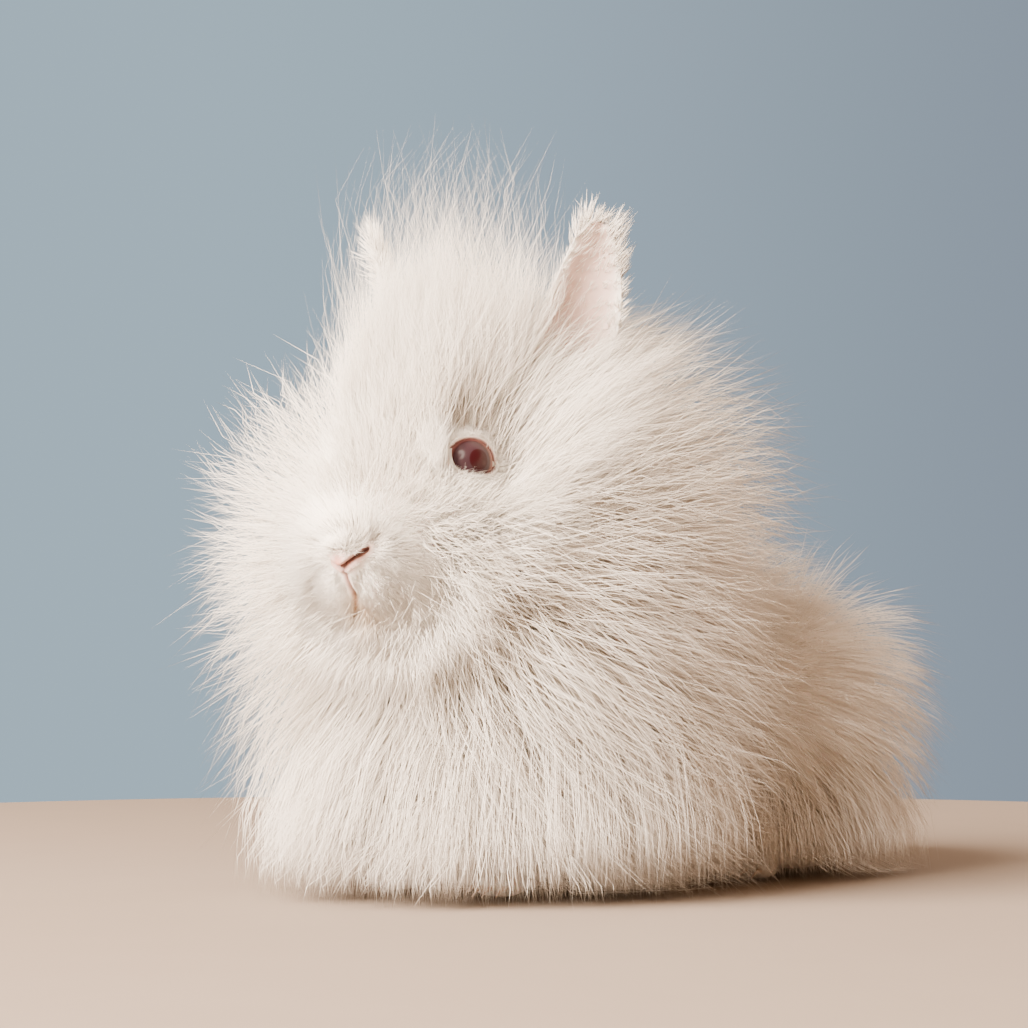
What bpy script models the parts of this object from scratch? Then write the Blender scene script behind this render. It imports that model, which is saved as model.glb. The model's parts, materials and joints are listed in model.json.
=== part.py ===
"""A life-size lionhead rabbit, sitting square on its feet, as a still display model.

It faces -Y with +Z up, in metres, and stands on z = 0 with the middle of its box on the origin.
Each sub-part is one closed object, kept clear of what it grows from. The long coat is made of
flat, tapered locks that are drawn at random from a fixed seed and fused to a core.
"""

import math
import random

import bmesh
import bpy
from mathutils import Matrix, Vector
from mathutils.bvhtree import BVHTree

GAP = 0.0003
LOCK_ROOM = 0.0004
FLOOR_ROOM = 0.0015

# Where the point midway between the eyes sits, and how far the skull points down.
EYE_LEVEL = Vector((0.0, -0.060, 0.1325))
HEAD_PITCH = math.radians(27)
HEAD_POSE = Matrix.Translation(EYE_LEVEL) @ Matrix.Rotation(HEAD_PITCH, 4, "X")

# Head stations in its own frame, nape to nose: y, half width, top, belt, bottom.
HEAD_ROWS = (
    (0.042, 0.010, 0.008, -0.002, -0.012),
    (0.036, 0.021, 0.014, -0.006, -0.024),
    (0.024, 0.028, 0.018, -0.013, -0.034),
    (0.008, 0.029, 0.019, -0.019, -0.039),
    (-0.006, 0.0285, 0.0165, -0.022, -0.040),
    (-0.018, 0.0265, 0.0115, -0.024, -0.043),
    (-0.028, 0.0235, 0.0055, -0.024, -0.042),
    (-0.036, 0.0180, -0.0005, -0.024, -0.040),
    (-0.041, 0.0120, -0.0060, -0.023, -0.036),
    (-0.0435, 0.0050, -0.0110, -0.021, -0.029),
)

# Muzzle forms in the head's frame: place and radii on the left side, mirrored where off the middle.
WHISKER_PAD = (Vector((0.0062, -0.0400, -0.0235)), (0.0086, 0.0088, 0.0100))
NOSE_PAD = (Vector((0.0, -0.0438, -0.0118)), (0.0058, 0.0042, 0.0048))
CHIN = (Vector((0.0, -0.0365, -0.0345)), (0.0075, 0.0080, 0.0060))
NOSTRIL = (Vector((0.0040, -0.0474, -0.0112)), (0.0036, 0.0030, 0.0010))
NOSTRIL_TILT = math.radians(38)
MOUTH_LINE = (
    Vector((0.0, -0.0480, -0.0150)),
    Vector((0.0, -0.0470, -0.0240)),
    Vector((0.0024, -0.0466, -0.0290)),
    Vector((0.0058, -0.0444, -0.0325)),
    Vector((0.0105, -0.0400, -0.0335)),
)
MOUTH_RADIUS = 0.0007

EYE_RADIUS = 0.0083
EYE_SPREAD = 0.0175
EYE_AXIS = Vector((0.95, -0.26, 0.12))
LID_RADIUS = 0.0074
LID_THICKNESS = 0.0015
LID_PLACE = 0.0040

EAR_BASE = Vector((0.020, -0.038, 0.142))
EAR_TIP = Vector((0.044, -0.028, 0.203))
EAR_OPENING = Vector((0.78, -0.62, 0.0))
EAR_HALF_WIDTH = 0.0120
EAR_CUP = 0.0080
EAR_BOW = 0.0060
EAR_THICKNESS = 0.0022

# Torso stations from the chest to the rump, in the object's frame.
TORSO_ROWS = (
    (-0.055, 0.012, 0.064, 0.048, 0.030),
    (-0.048, 0.024, 0.077, 0.046, 0.015),
    (-0.030, 0.034, 0.092, 0.048, 0.009),
    (-0.005, 0.041, 0.103, 0.050, 0.006),
    (0.030, 0.048, 0.109, 0.050, 0.005),
    (0.070, 0.053, 0.110, 0.050, 0.0045),
    (0.104, 0.053, 0.106, 0.049, 0.005),
    (0.131, 0.045, 0.092, 0.047, 0.008),
    (0.146, 0.031, 0.075, 0.045, 0.019),
    (0.153, 0.013, 0.058, 0.044, 0.032),
)

THIGH = (Vector((0.044, 0.090, 0.050)), (0.024, 0.046, 0.044))
TAIL = (Vector((0.0, 0.154, 0.042)), (0.012, 0.012, 0.015))

# The mane: a core about the neck, and the shell that the tips of its locks reach.
MANE_CENTRE = Vector((0.0, -0.020, 0.094))
MANE_CORE = Vector((0.059, 0.048, 0.060))
MANE_TIPS = Vector((0.098, 0.080, 0.092))
MANE_TIPS_BELOW = 0.120
MANE_HALF_WIDTH = 0.094
MANE_SQUARENESS = 2.8
FACE_WAY = Vector((0.0, -0.98, 0.19)).normalized()
ABOVE_FACE = Vector((0.0, 0.19, 0.98)).normalized()

# Tiers of the mane: degrees from the way the face looks, how many locks go all the way round,
# and how much of the slide away from the face they have.
MANE_TIERS = (
    (32, 11, 1.0),
    (50, 16, 1.0),
    (60, 13, 0.25),
    (68, 20, 1.0),
    (86, 18, 1.0),
    (104, 14, 1.0),
    (122, 9, 1.0),
)
MANE_SLIDE = math.radians(33)
MANE_SAG = 0.006
MANE_FLOOR_ROOM = 0.010
BIB_COUNT = 10
FACE_CLEAR = math.radians(42)

# Along each lock: shares of its length, of its width and of its thickness, before its pointed tip.
LOCK_STEPS = (0.0, 0.36, 0.70, 1.0)
LOCK_WIDTHS = (0.80, 1.0, 0.66)
LOCK_DEPTHS = (1.0, 0.9, 0.6)

WOOL = (0.88, 0.83, 0.77, 1.0)
RUBY = (0.36, 0.09, 0.12, 1.0)


def signed_power(value, power):
    return math.copysign(abs(value) ** power, value)


def mirrored(point, side):
    return Vector((side * point.x, point.y, point.z))


def smooth_rows(rows, count):
    """Rows read from a smooth curve through the given ones, count for each gap between them."""
    last = len(rows) - 1
    made = []
    for step in range(last * count + 1):
        at = min(step // count, last - 1)
        share = step / count - at
        a, b, c, d = (rows[min(max(at + k, 0), last)] for k in (-1, 0, 1, 2))
        made.append(tuple(
            0.5 * (2 * q + (r - p) * share + (2 * p - 5 * q + 4 * r - s) * share**2
                   + (3 * q - p - 3 * r + s) * share**3)
            for p, q, r, s in zip(a, b, c, d)
        ))
    return made


def oval(row, points, fullness=1.0, floor=None):
    """One ring across y: its width is greatest at the belt, and floor flattens its underside."""
    y, half_width, top, belt, bottom = row
    ring = []
    for i in range(points):
        turn = 2 * math.pi * i / points
        side, rise = math.cos(turn), math.sin(turn)
        reach = top - belt if rise > 0 else belt - bottom
        z = belt + reach * signed_power(rise, fullness)
        z = z if floor is None else max(z, floor)
        ring.append(Vector((half_width * signed_power(side, fullness), y, z)))
    return ring


def new_object(name, bm):
    mesh = bpy.data.meshes.new(name)
    bmesh.ops.recalc_face_normals(bm, faces=bm.faces)
    bmesh.ops.triangulate(bm, faces=bm.faces)
    bm.to_mesh(mesh)
    bm.free()
    obj = bpy.data.objects.new(name, mesh)
    bpy.context.scene.collection.objects.link(obj)
    return obj


def loft(name, rings, pose=Matrix.Identity(4), tip=None):
    """A closed skin through rings of equal length, with flat ends, or a pointed last one."""
    bm = bmesh.new()
    loops = [[bm.verts.new(pose @ point) for point in ring] for ring in rings]
    for near, far in zip(loops, loops[1:]):
        for i in range(len(near)):
            j = (i + 1) % len(near)
            bm.faces.new((near[i], near[j], far[j], far[i]))
    bm.faces.new(loops[0])
    if tip is None:
        bm.faces.new(loops[-1][::-1])
    else:
        end = bm.verts.new(pose @ tip)
        for i, vertex in enumerate(loops[-1]):
            bm.faces.new((vertex, loops[-1][(i + 1) % len(loops[-1])], end))
    return new_object(name, bm)


def ball(name, centre, radii, segments=16, turn=Matrix.Identity(4)):
    """An ellipsoid about centre, turned by the given matrix."""
    bm = bmesh.new()
    pose = Matrix.Translation(centre) @ turn @ Matrix.Diagonal((*radii, 1.0))
    bmesh.ops.create_uvsphere(
        bm, u_segments=segments, v_segments=segments * 5 // 8, radius=1.0, matrix=pose
    )
    return new_object(name, bm)


def lock(points, width, thickness, facing, room=0.0):
    """A flat lock of hair through points, its broad side turned to facing, ending in a point.

    With room it is that much larger all round, as a cutter for what must stay clear of it.
    """
    rings = []
    for at, point in enumerate(points[:-1]):
        ahead = points[at + 1] - points[max(at - 1, 0)]
        side = ahead.cross(facing).normalized() * (width / 2 * LOCK_WIDTHS[at] + 2 * room)
        out = side.cross(ahead).normalized() * (thickness / 2 * LOCK_DEPTHS[at] + 1.5 * room)
        rings.append([point + side, point + out, point - side, point - out])
    last = (points[-1] - points[-2]).normalized()
    return loft("lock", rings, tip=points[-1] + last * 8 * room)


def bent_lock(root, way, bend, length, width, thickness, facing, room=0.0):
    """A lock that leaves root along way and drifts by bend, kept above the floor."""
    points = []
    for share in LOCK_STEPS:
        point = root + way.normalized() * length * share + bend * length * share**2
        points.append(Vector((*point.xy, max(point.z, FLOOR_ROOM + thickness / 2))))
    return lock(points, width, thickness, facing, room)


def combine(body, others, operation, solver="EXACT"):
    """Joins the others to body, or cuts them from it, and removes them."""
    group = bpy.data.collections.new(body.name + "_others")
    bpy.context.scene.collection.children.link(group)
    for other in others:
        group.objects.link(other)
    boolean = body.modifiers.new(operation.lower(), "BOOLEAN")
    boolean.operation = operation
    boolean.operand_type = "COLLECTION"
    boolean.collection = group
    boolean.solver = solver
    graph = bpy.context.evaluated_depsgraph_get()
    made = bpy.data.meshes.new_from_object(body.evaluated_get(graph))
    body.modifiers.clear()
    body.data = made
    for other in list(group.objects):
        bpy.data.objects.remove(other)
    bpy.data.collections.remove(group)
    keep_largest(body)
    return body


def keep_largest(obj):
    """Leaves only the largest closed surface, so that no sealed hollow or loose scrap stays."""
    bm = bmesh.new()
    bm.from_mesh(obj.data)
    bmesh.ops.triangulate(bm, faces=bm.faces)
    left = set(bm.faces)
    groups = []
    while left:
        group, edge = set(), [left.pop()]
        while edge:
            face = edge.pop()
            group.add(face)
            near = {f for e in face.edges for f in e.link_faces} & left
            left -= near
            edge.extend(near)
        groups.append(group)
    groups.sort(key=lambda faces: sum(face.calc_area() for face in faces))
    for group in groups[:-1]:
        bmesh.ops.delete(bm, geom=list(group), context="FACES")
    loose = [v for v in bm.verts if not v.link_faces]
    bmesh.ops.delete(bm, geom=loose, context="VERTS")
    bm.to_mesh(obj.data)
    bm.free()


def grown(obj, by=1.5 * GAP):
    """A copy pushed out along its normals, to cut the room that a neighbour keeps."""
    copy = bpy.data.objects.new(obj.name + "_room", obj.data.copy())
    bpy.context.scene.collection.objects.link(copy)
    for vertex, normal in zip(copy.data.vertices, [v.normal.copy() for v in obj.data.vertices]):
        vertex.co += normal * by
    return copy


def dress(body, locks):
    """Fuses locks to body, and returns its plain form, which tells the room that it takes."""
    plain = bpy.data.objects.new(body.name + "_plain", body.data.copy())
    combine(body, locks, "UNION")
    return plain


def surface_tree(obj):
    bm = bmesh.new()
    bm.from_mesh(obj.data)
    tree = BVHTree.FromBMesh(bm)
    bm.free()
    return tree


def buried(point, trees, room=0.0):
    """Whether point lies inside any of the closed surfaces, or within room of one."""
    for tree in trees:
        near, normal, _, distance = tree.find_nearest(point)
        if distance < room or (point - near).dot(normal) < 0:
            return True
    return False


def muzzle_pieces():
    pieces = []
    for side in (1, -1):
        place, radii = WHISKER_PAD
        pieces.append(ball("whisker_pad", HEAD_POSE @ mirrored(place, side), radii, 10))
    for place, radii in (NOSE_PAD, CHIN):
        pieces.append(ball("pad", HEAD_POSE @ place, radii, 10))
    return pieces


def mouth_cutters():
    """The slits of the nostrils, and the cleft of the lip with the line of the mouth."""
    cutters = []
    for side in (1, -1):
        place, radii = NOSTRIL
        turn = HEAD_POSE.to_3x3().to_4x4() @ Matrix.Rotation(-side * NOSTRIL_TILT, 4, "Y")
        cutters.append(ball("nostril", HEAD_POSE @ mirrored(place, side), radii, 8, turn))
        rings = []
        for point in MOUTH_LINE:
            centre = mirrored(point, side)
            rings.append([
                centre + Vector((0.0, 3 * MOUTH_RADIUS * math.cos(a), MOUTH_RADIUS * math.sin(a)))
                + Vector((MOUTH_RADIUS * math.sin(a), 0.0, 0.0)) * (point.x < 0.003)
                for a in (math.radians(k * 60) for k in range(6))
            ])
        cutters.append(loft("mouth", rings, HEAD_POSE))
    return cutters


def eye_centre(side):
    return HEAD_POSE @ Vector((side * EYE_SPREAD, 0.0, 0.0))


def make_lid(side):
    """A rounded rim of skin round the opening of one eye."""
    way = mirrored(EYE_AXIS, side).normalized()
    bpy.ops.mesh.primitive_torus_add(
        major_segments=14, minor_segments=5, major_radius=LID_RADIUS, minor_radius=LID_THICKNESS,
    )
    lid = bpy.context.object
    turn = way.to_track_quat("Z", "Y").to_matrix().to_4x4()
    lid.data.transform(Matrix.Translation(eye_centre(side) + way * LID_PLACE) @ turn)
    return lid


def make_head():
    rings = [oval(row, 18, 0.92) for row in smooth_rows(HEAD_ROWS, 2)]
    head = loft("head", rings, HEAD_POSE)
    lids = [make_lid(side) for side in (1, -1)]
    combine(head, muzzle_pieces() + lids, "UNION")
    return combine(head, mouth_cutters(), "DIFFERENCE")


def head_locks(room=0.0):
    """The crest between the ears, the forelock over the brow, the cheeks and the beard."""
    draw = random.Random(11)
    locks = []
    for i in range(15):
        across = (i % 5 - 2) / 2 + draw.uniform(-0.15, 0.15)
        back = i // 5 / 2
        root = Vector((0.017 * across, -0.056 + 0.026 * back, 0.146))
        way = Vector((0.20 * across, -0.08 + 0.22 * back, 1.0))
        bend = Vector((draw.uniform(-0.06, 0.14), draw.uniform(-0.10, 0.10), 0.0))
        length = 0.085 * (1 - 0.34 * across**2) * draw.uniform(0.76, 1.0)
        facing = Vector((across, -1.0 + 1.6 * back, 0.0))
        locks.append(bent_lock(root, way, bend, length, 0.015, 0.0048, facing, room))
    for i in range(6):
        across = (i - 2.5) / 2.5
        root = EYE_LEVEL + Vector((0.015 * across, -0.004 + 0.006 * across**2, 0.004))
        way = Vector((0.36 * across, -0.40, 1.0))
        length = 0.038 * draw.uniform(0.85, 1.1)
        bend = Vector((0.15 * across, 0.36, -0.05))
        facing = Vector((0, -1, 0.4))
        locks.append(bent_lock(root, way, bend, length, 0.014, 0.0042, facing, room))
    for side in (1, -1):
        for i in range(4):
            root = HEAD_POSE @ Vector((side * 0.021, -0.020 + 0.009 * i, -0.022 - 0.003 * i))
            way = Vector((side * 1.0, -0.40 + 0.14 * i, -0.25))
            bend = Vector((side * 0.05, 0.50, -0.34))
            length = 0.036 * draw.uniform(0.9, 1.1)
            facing = Vector((side * 0.5, -1.0, 0.2))
            locks.append(bent_lock(root, way, bend, length, 0.017, 0.0048, facing, room))
        for i in range(2):
            root = Vector((side * (0.019 + 0.004 * i), -0.054 + 0.014 * i, 0.146))
            way = Vector((side * 0.50, -0.16 + 0.34 * i, 1.0))
            bend = Vector((side * 0.26, 0.16, -0.16))
            length = 0.040 * draw.uniform(0.85, 1.1)
            facing = Vector((side * 0.3, -0.8, 0.5))
            locks.append(bent_lock(root, way, bend, length, 0.015, 0.0046, facing, room))
    for i in range(4):
        across = (i - 1.5) / 1.5
        root = HEAD_POSE @ Vector((0.010 * across, -0.027, -0.029))
        way = Vector((0.35 * across, -0.40, -1.0))
        bend = Vector((0.0, 0.10, -0.10))
        length = 0.032 * draw.uniform(0.85, 1.1)
        facing = Vector((0, -1, 0))
        locks.append(bent_lock(root, way, bend, length, 0.015, 0.0046, facing, room))
    return locks


def make_eye(side):
    return ball("eye_left" if side > 0 else "eye_right", eye_centre(side), (EYE_RADIUS,) * 3, 12)


def ear_pose(side):
    """Rows of the matrix: across the ear, the way its cup opens, along it, and its base."""
    base, tip = mirrored(EAR_BASE, side), mirrored(EAR_TIP, side)
    along = (tip - base).normalized()
    opening = mirrored(EAR_OPENING, side)
    across = opening.cross(along).normalized()
    opening = along.cross(across)
    pose = Matrix((across, opening, along)).transposed().to_4x4()
    return Matrix.Translation(base) @ pose


def ear_half_width(share):
    """Half the ear's width at a share of its length, the widest point a little under its middle."""
    return EAR_HALF_WIDTH * math.sin(math.pi * (0.14 + 0.81 * share)) ** 0.75


def ear_bow(share, side):
    """How far the ear's line bows outwards, in its own frame."""
    return Vector((-side * EAR_BOW * math.sin(math.pi * share), 0.0, 0.0))


def ear_ring(share, length, side):
    """A crescent section, the shape of a leaf rolled into a cup, at a share of the ear's length."""
    half = ear_half_width(share)
    depth = EAR_CUP * (half / EAR_HALF_WIDTH) * (1.15 - 0.45 * share)
    arc = [math.pi * (k / 7 - 0.5) for k in range(8)]
    outer = [Vector((half * math.sin(a), -depth * math.cos(a), share * length)) for a in arc]
    inside, hollow = half - EAR_THICKNESS, depth - EAR_THICKNESS
    inner = [Vector((inside * math.sin(a), -hollow * math.cos(a), share * length)) for a in arc]
    return [point + ear_bow(share, side) for point in outer + inner[::-1]]


def make_ear(side):
    length = (EAR_TIP - EAR_BASE).length
    pose = ear_pose(side)
    rings = [ear_ring(k / 8, length, side) for k in range(9)]
    return loft("ear_left" if side > 0 else "ear_right", rings, pose)


def ear_locks(side, room=0.0):
    """Tufts that fringe the upper rim of the cup and stand up at its tip."""
    length = (EAR_TIP - EAR_BASE).length
    pose = ear_pose(side)
    draw = random.Random(21)
    tufts = []
    for i in range(4):
        across = (i - 1.5) / 1.5
        share = 0.97 - 0.26 * across**2
        place = Vector((0.75 * ear_half_width(share) * across, -0.0025, (share - 0.10) * length))
        root = pose @ (place + ear_bow(share, side))
        way = pose.to_3x3() @ Vector((0.42 * across, 0.0, 1.0))
        bend = pose.to_3x3() @ Vector((0.10 * across, draw.uniform(-0.1, 0.2), 0.0))
        facing = pose.to_3x3() @ Vector((0.0, 1.0, 0.0))
        size = 0.020 * draw.uniform(0.8, 1.1)
        tufts.append(bent_lock(root, way, bend, size, 0.0085, 0.0026, facing, room))
    return tufts


def make_foreleg(side):
    foot_rows = (
        (-0.066, 0.005, 0.006, 0.003, 0.0),
        (-0.062, 0.010, 0.012, 0.004, -0.004),
        (-0.052, 0.012, 0.016, 0.005, -0.006),
        (-0.040, 0.011, 0.018, 0.006, -0.006),
        (-0.030, 0.005, 0.012, 0.006, 0.0),
    )
    rings = [oval(row, 12, 1.0, 0.0) for row in smooth_rows(foot_rows, 2)]
    pose = Matrix.Translation((side * 0.020, 0.0, 0.0))
    foot = loft("foreleg_left" if side > 0 else "foreleg_right", rings, pose)
    shin = ball("shin", Vector((side * 0.021, -0.040, 0.030)), (0.010, 0.011, 0.028), 10)
    return combine(foot, [shin], "UNION")


def make_hindleg(side):
    foot_rows = (
        (0.022, 0.006, 0.007, 0.003, 0.0),
        (0.028, 0.012, 0.013, 0.004, -0.005),
        (0.045, 0.0135, 0.018, 0.005, -0.008),
        (0.080, 0.013, 0.022, 0.006, -0.008),
        (0.108, 0.011, 0.022, 0.007, -0.006),
        (0.116, 0.005, 0.014, 0.007, 0.0),
    )
    rings = [oval(row, 14, 1.0, 0.0) for row in smooth_rows(foot_rows, 2)]
    pose = Matrix.Translation((side * 0.047, 0.0, 0.0))
    leg = loft("hindleg_left" if side > 0 else "hindleg_right", rings, pose)
    centre, radii = THIGH
    return combine(leg, [ball("thigh", mirrored(centre, side), radii, 16)], "UNION")


def hindleg_locks(side, room=0.0):
    """Two tiers that hang from the thigh over the foot."""
    centre, radii = mirrored(THIGH[0], side), THIGH[1]
    draw = random.Random(31)
    locks = []
    for height, count, length in ((0.35, 4, 0.034), (-0.15, 5, 0.036)):
        for i in range(count):
            along = (i - (count - 1) / 2) / (count / 2) * 0.85
            out = math.sqrt(max(1 - along**2 * 0.8 - height**2, 0.05))
            root = centre + Vector((side * radii[0] * out * 0.7, radii[1] * along, radii[2] * height))
            way = Vector((side * 0.85, 0.25 + 0.35 * along, -0.75))
            bend = Vector((-side * 0.28, 0.20, -0.45))
            facing = Vector((side, 0.3 * along, 0.2))
            size = length * draw.uniform(0.85, 1.12)
            locks.append(bent_lock(root, way, bend, size, 0.021, 0.0052, facing, room))
    return locks


def torso_point(y, turn):
    """A point on the torso's smooth form, turn radians from its left side up over its back."""
    rows = smooth_rows(TORSO_ROWS, 8)
    y_row, half_width, top, belt, bottom = min(rows, key=lambda row: abs(row[0] - y))
    side, rise = math.cos(turn), math.sin(turn)
    reach = top - belt if rise > 0 else belt - bottom
    return Vector((half_width * side, y_row, belt + reach * rise))


def torso_locks(room=0.0):
    """Overlapping locks that lie along the back and rump, and a skirt that hangs to the floor."""
    draw = random.Random(41)
    locks = []
    for tier, (y, count) in enumerate(((0.046, 5), (0.078, 6), (0.108, 6), (0.130, 5))):
        for i in range(count):
            turn = math.radians(14 + 152 * (i + 0.5 * (tier % 2)) / count + draw.uniform(-4, 4))
            out = Vector((math.cos(turn), 0.0, math.sin(turn)))
            root = torso_point(y, turn) - out * 0.007
            way = out * 0.34 + Vector((0.0, 1.0, -0.10 * tier))
            bend = Vector((0.10 * out.x, -0.10 * tier, -0.18 - 0.14 * tier))
            size = 0.042 * draw.uniform(0.85, 1.1)
            locks.append(bent_lock(root, way, bend, size, 0.026, 0.0056, out, room))
    for side in (1, -1):
        for i in range(4):
            y = -0.004 + 0.015 * i
            root = torso_point(y, math.radians(90 - side * 105)) - Vector((side * 0.006, 0, 0))
            way = Vector((side * 0.80, 0.18, -0.62))
            bend = Vector((-side * 0.25, 0.12, -0.42))
            size = 0.034 * draw.uniform(0.9, 1.1)
            facing = Vector((side, 0, 0.2))
            locks.append(bent_lock(root, way, bend, size, 0.021, 0.0052, facing, room))
    for i in range(6):
        turn = math.radians(90 + 22 * (i - 2.5))
        out = Vector((-math.cos(turn), math.sin(turn), 0.0))
        root = Vector((0.0, 0.104, 0.036)) + Vector((0.034 * out.x, 0.030 * out.y, 0.0))
        size = 0.040 * draw.uniform(0.9, 1.1)
        way, bend = out + Vector((0, 0, -0.62)), Vector((0, 0, -0.50))
        locks.append(bent_lock(root, way, bend, size, 0.022, 0.0052, out, room))
    return locks


def make_torso():
    return loft("torso", [oval(row, 18, 0.92) for row in smooth_rows(TORSO_ROWS, 2)])


def make_tail():
    centre, radii = TAIL
    return ball("tail", centre, radii, 14)


def tail_locks():
    centre = TAIL[0]
    draw = random.Random(51)
    locks = []
    for i in range(6):
        turn = 2 * math.pi * i / 6
        out = Vector((math.cos(turn), 0.25, math.sin(turn)))
        way = out + Vector((0.0, 0.55, 0.25))
        size = 0.019 * draw.uniform(0.9, 1.1)
        bend = Vector((0, 0.3, -0.2))
        locks.append(bent_lock(centre + out * 0.004, way, bend, size, 0.012, 0.0040, out))
    return locks


def shell_point(way, radii):
    """Where the given way from the mane's centre meets a slightly squared ellipsoid."""
    power = MANE_SQUARENESS
    if radii is MANE_TIPS and way.z < 0:
        radii = Vector((radii.x, radii.y, MANE_TIPS_BELOW))
    parts = (abs(way[k] / radii[k]) ** power for k in range(3))
    return way * sum(parts) ** (-1 / power)


def mane_points(spread, clock, slide, reach):
    """A lock's points, from inside the core out to the tips' shell, sliding away from the face."""
    points = []
    for share in LOCK_STEPS:
        away = spread + slide * share
        round_face = ABOVE_FACE * math.cos(clock) + Vector((math.sin(clock), 0.0, 0.0))
        way = FACE_WAY * math.cos(away) + round_face * math.sin(away)
        start, end = shell_point(way, MANE_CORE) * 0.82, shell_point(way, MANE_TIPS) * reach
        point = MANE_CENTRE + start.lerp(end, share**0.85)
        point.x = min(max(point.x, -MANE_HALF_WIDTH), MANE_HALF_WIDTH)
        point.z = max(point.z - MANE_SAG * share**2, FLOOR_ROOM + MANE_FLOOR_ROOM * (1 - share))
        points.append(point)
    return points


def mane_locks(neighbours):
    """Tiers of locks round the face, left out or raised where a neighbour is in the way."""
    trees = [surface_tree(node) for node in neighbours]
    draw = random.Random(61)
    locks = []
    for tier, (degrees, count, slide_share) in enumerate(MANE_TIERS):
        for i in range(count):
            spread = math.radians(degrees + draw.uniform(-5, 5))
            clock = 2 * math.pi * (i + 0.5 * (tier % 2) + draw.uniform(-0.22, 0.22)) / count
            slide = MANE_SLIDE * slide_share * draw.uniform(0.8, 1.2)
            reach = draw.uniform(0.93, 1.03)
            width = 0.025 * draw.uniform(0.85, 1.15)
            over_face = math.cos(clock) > -0.15 and spread < FACE_CLEAR
            for lift in (1.0, 1.06, 1.12):
                points = mane_points(spread, clock, slide, reach * lift)
                clear = not any(buried(point, trees, 0.002) for point in points[1:])
                if clear:
                    break
            if over_face or not clear:
                continue
            facing = (points[2] - MANE_CENTRE).normalized()
            locks.append(lock(points, width, 0.0060, facing))
    return locks


def bib_locks():
    """Locks that hang from the chest to the floor, in front of the feet."""
    draw = random.Random(71)
    locks = []
    for i in range(BIB_COUNT):
        turn = math.radians(160 * (i / (BIB_COUNT - 1) - 0.5) + draw.uniform(-4, 4))
        out = Vector((math.sin(turn), -math.cos(turn), 0.0))
        root = MANE_CENTRE + shell_point((out + Vector((0, 0, -0.75))).normalized(), MANE_CORE) * 0.84
        way = out * 0.50 + Vector((0, 0, -1))
        bend = out * -0.10 + Vector((0, 0, -0.12))
        length = root.z * draw.uniform(0.96, 1.04)
        locks.append(bent_lock(root, way, bend, length, 0.024, 0.0060, out))
    return locks


def make_neck(neighbours):
    neck = ball("neck", MANE_CENTRE, MANE_CORE, 20)
    return combine(neck, mane_locks(neighbours) + bib_locks(), "UNION")


def add_material(obj, colour, roughness):
    material = bpy.data.materials.new(obj.name)
    material.use_nodes = True
    shader = material.node_tree.nodes["Principled BSDF"]
    shader.inputs["Base Color"].default_value = colour
    shader.inputs["Roughness"].default_value = roughness
    shader.inputs["Metallic"].default_value = 0.0
    obj.data.materials.clear()
    obj.data.materials.append(material)


def stand_on_origin(nodes):
    """Moves every node alike, so that the middle of the box's base is the origin."""
    corners = [v.co for node in nodes for v in node.data.vertices]
    low = Vector([min(c[k] for c in corners) for k in range(3)])
    high = Vector([max(c[k] for c in corners) for k in range(3)])
    shift = Matrix.Translation((-(low.x + high.x) / 2, -(low.y + high.y) / 2, -low.z))
    rabbit = bpy.data.objects.new("rabbit", None)
    bpy.context.scene.collection.objects.link(rabbit)
    for node in nodes:
        node.data.transform(shift)
        node.parent = rabbit


def main():
    for obj in list(bpy.data.objects):
        bpy.data.objects.remove(obj)
    sides = (1, -1)
    eyes = [make_eye(side) for side in sides]
    hindlegs = [make_hindleg(side) for side in sides]
    plain_hindlegs = [dress(leg, hindleg_locks(side)) for leg, side in zip(hindlegs, sides)]
    torso = make_torso()
    plain_torso = dress(torso, torso_locks())
    for leg, side in zip(plain_hindlegs, sides):
        combine(torso, [grown(leg)] + hindleg_locks(side, LOCK_ROOM), "DIFFERENCE")
    tail = make_tail()
    dress(tail, tail_locks())
    combine(tail, [grown(plain_torso)] + torso_locks(LOCK_ROOM), "DIFFERENCE")
    forelegs = [combine(make_foreleg(side), [grown(plain_torso)], "DIFFERENCE") for side in sides]
    head = make_head()
    ears = [combine(make_ear(side), [grown(head)], "DIFFERENCE") for side in sides]
    plain_ears = [dress(ear, ear_locks(side)) for ear, side in zip(ears, sides)]
    plain_head = dress(head, head_locks())
    combine(head, [grown(eye) for eye in eyes], "DIFFERENCE")
    for ear, side in zip(plain_ears, sides):
        combine(head, [grown(ear, GAP)] + ear_locks(side, LOCK_ROOM), "DIFFERENCE")
    neck = make_neck([plain_torso, plain_head, *plain_ears])
    combine(neck, [grown(plain_torso)] + torso_locks(LOCK_ROOM), "DIFFERENCE")
    combine(neck, [grown(plain_head)] + head_locks(LOCK_ROOM), "DIFFERENCE")
    for ear, side in zip(plain_ears, sides):
        combine(neck, [grown(ear)] + ear_locks(side, LOCK_ROOM), "DIFFERENCE")
    for leg, side in zip(plain_hindlegs, sides):
        combine(neck, [grown(leg)] + hindleg_locks(side, LOCK_ROOM), "DIFFERENCE")
    combine(neck, [grown(leg) for leg in forelegs], "DIFFERENCE")
    for plain in (plain_torso, plain_head, *plain_ears, *plain_hindlegs):
        bpy.data.objects.remove(plain)
    for node in (torso, head, neck, tail, *ears, *forelegs, *hindlegs):
        add_material(node, WOOL, 0.9)
    for eye in eyes:
        add_material(eye, RUBY, 0.12)
    stand_on_origin([torso, head, neck, tail, *eyes, *ears, *forelegs, *hindlegs])


main()
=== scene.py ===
"""Looks of a long-haired white rabbit, life size and still, round its solids: one skin with its
nose, lids and ears, the wool in solid tufts, ruby eyes, claws and whiskers, and a pale stage."""

import json
import math

import bmesh
import bpy
import numpy as np
from mathutils import Matrix, Vector
from mathutils.kdtree import KDTree

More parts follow.
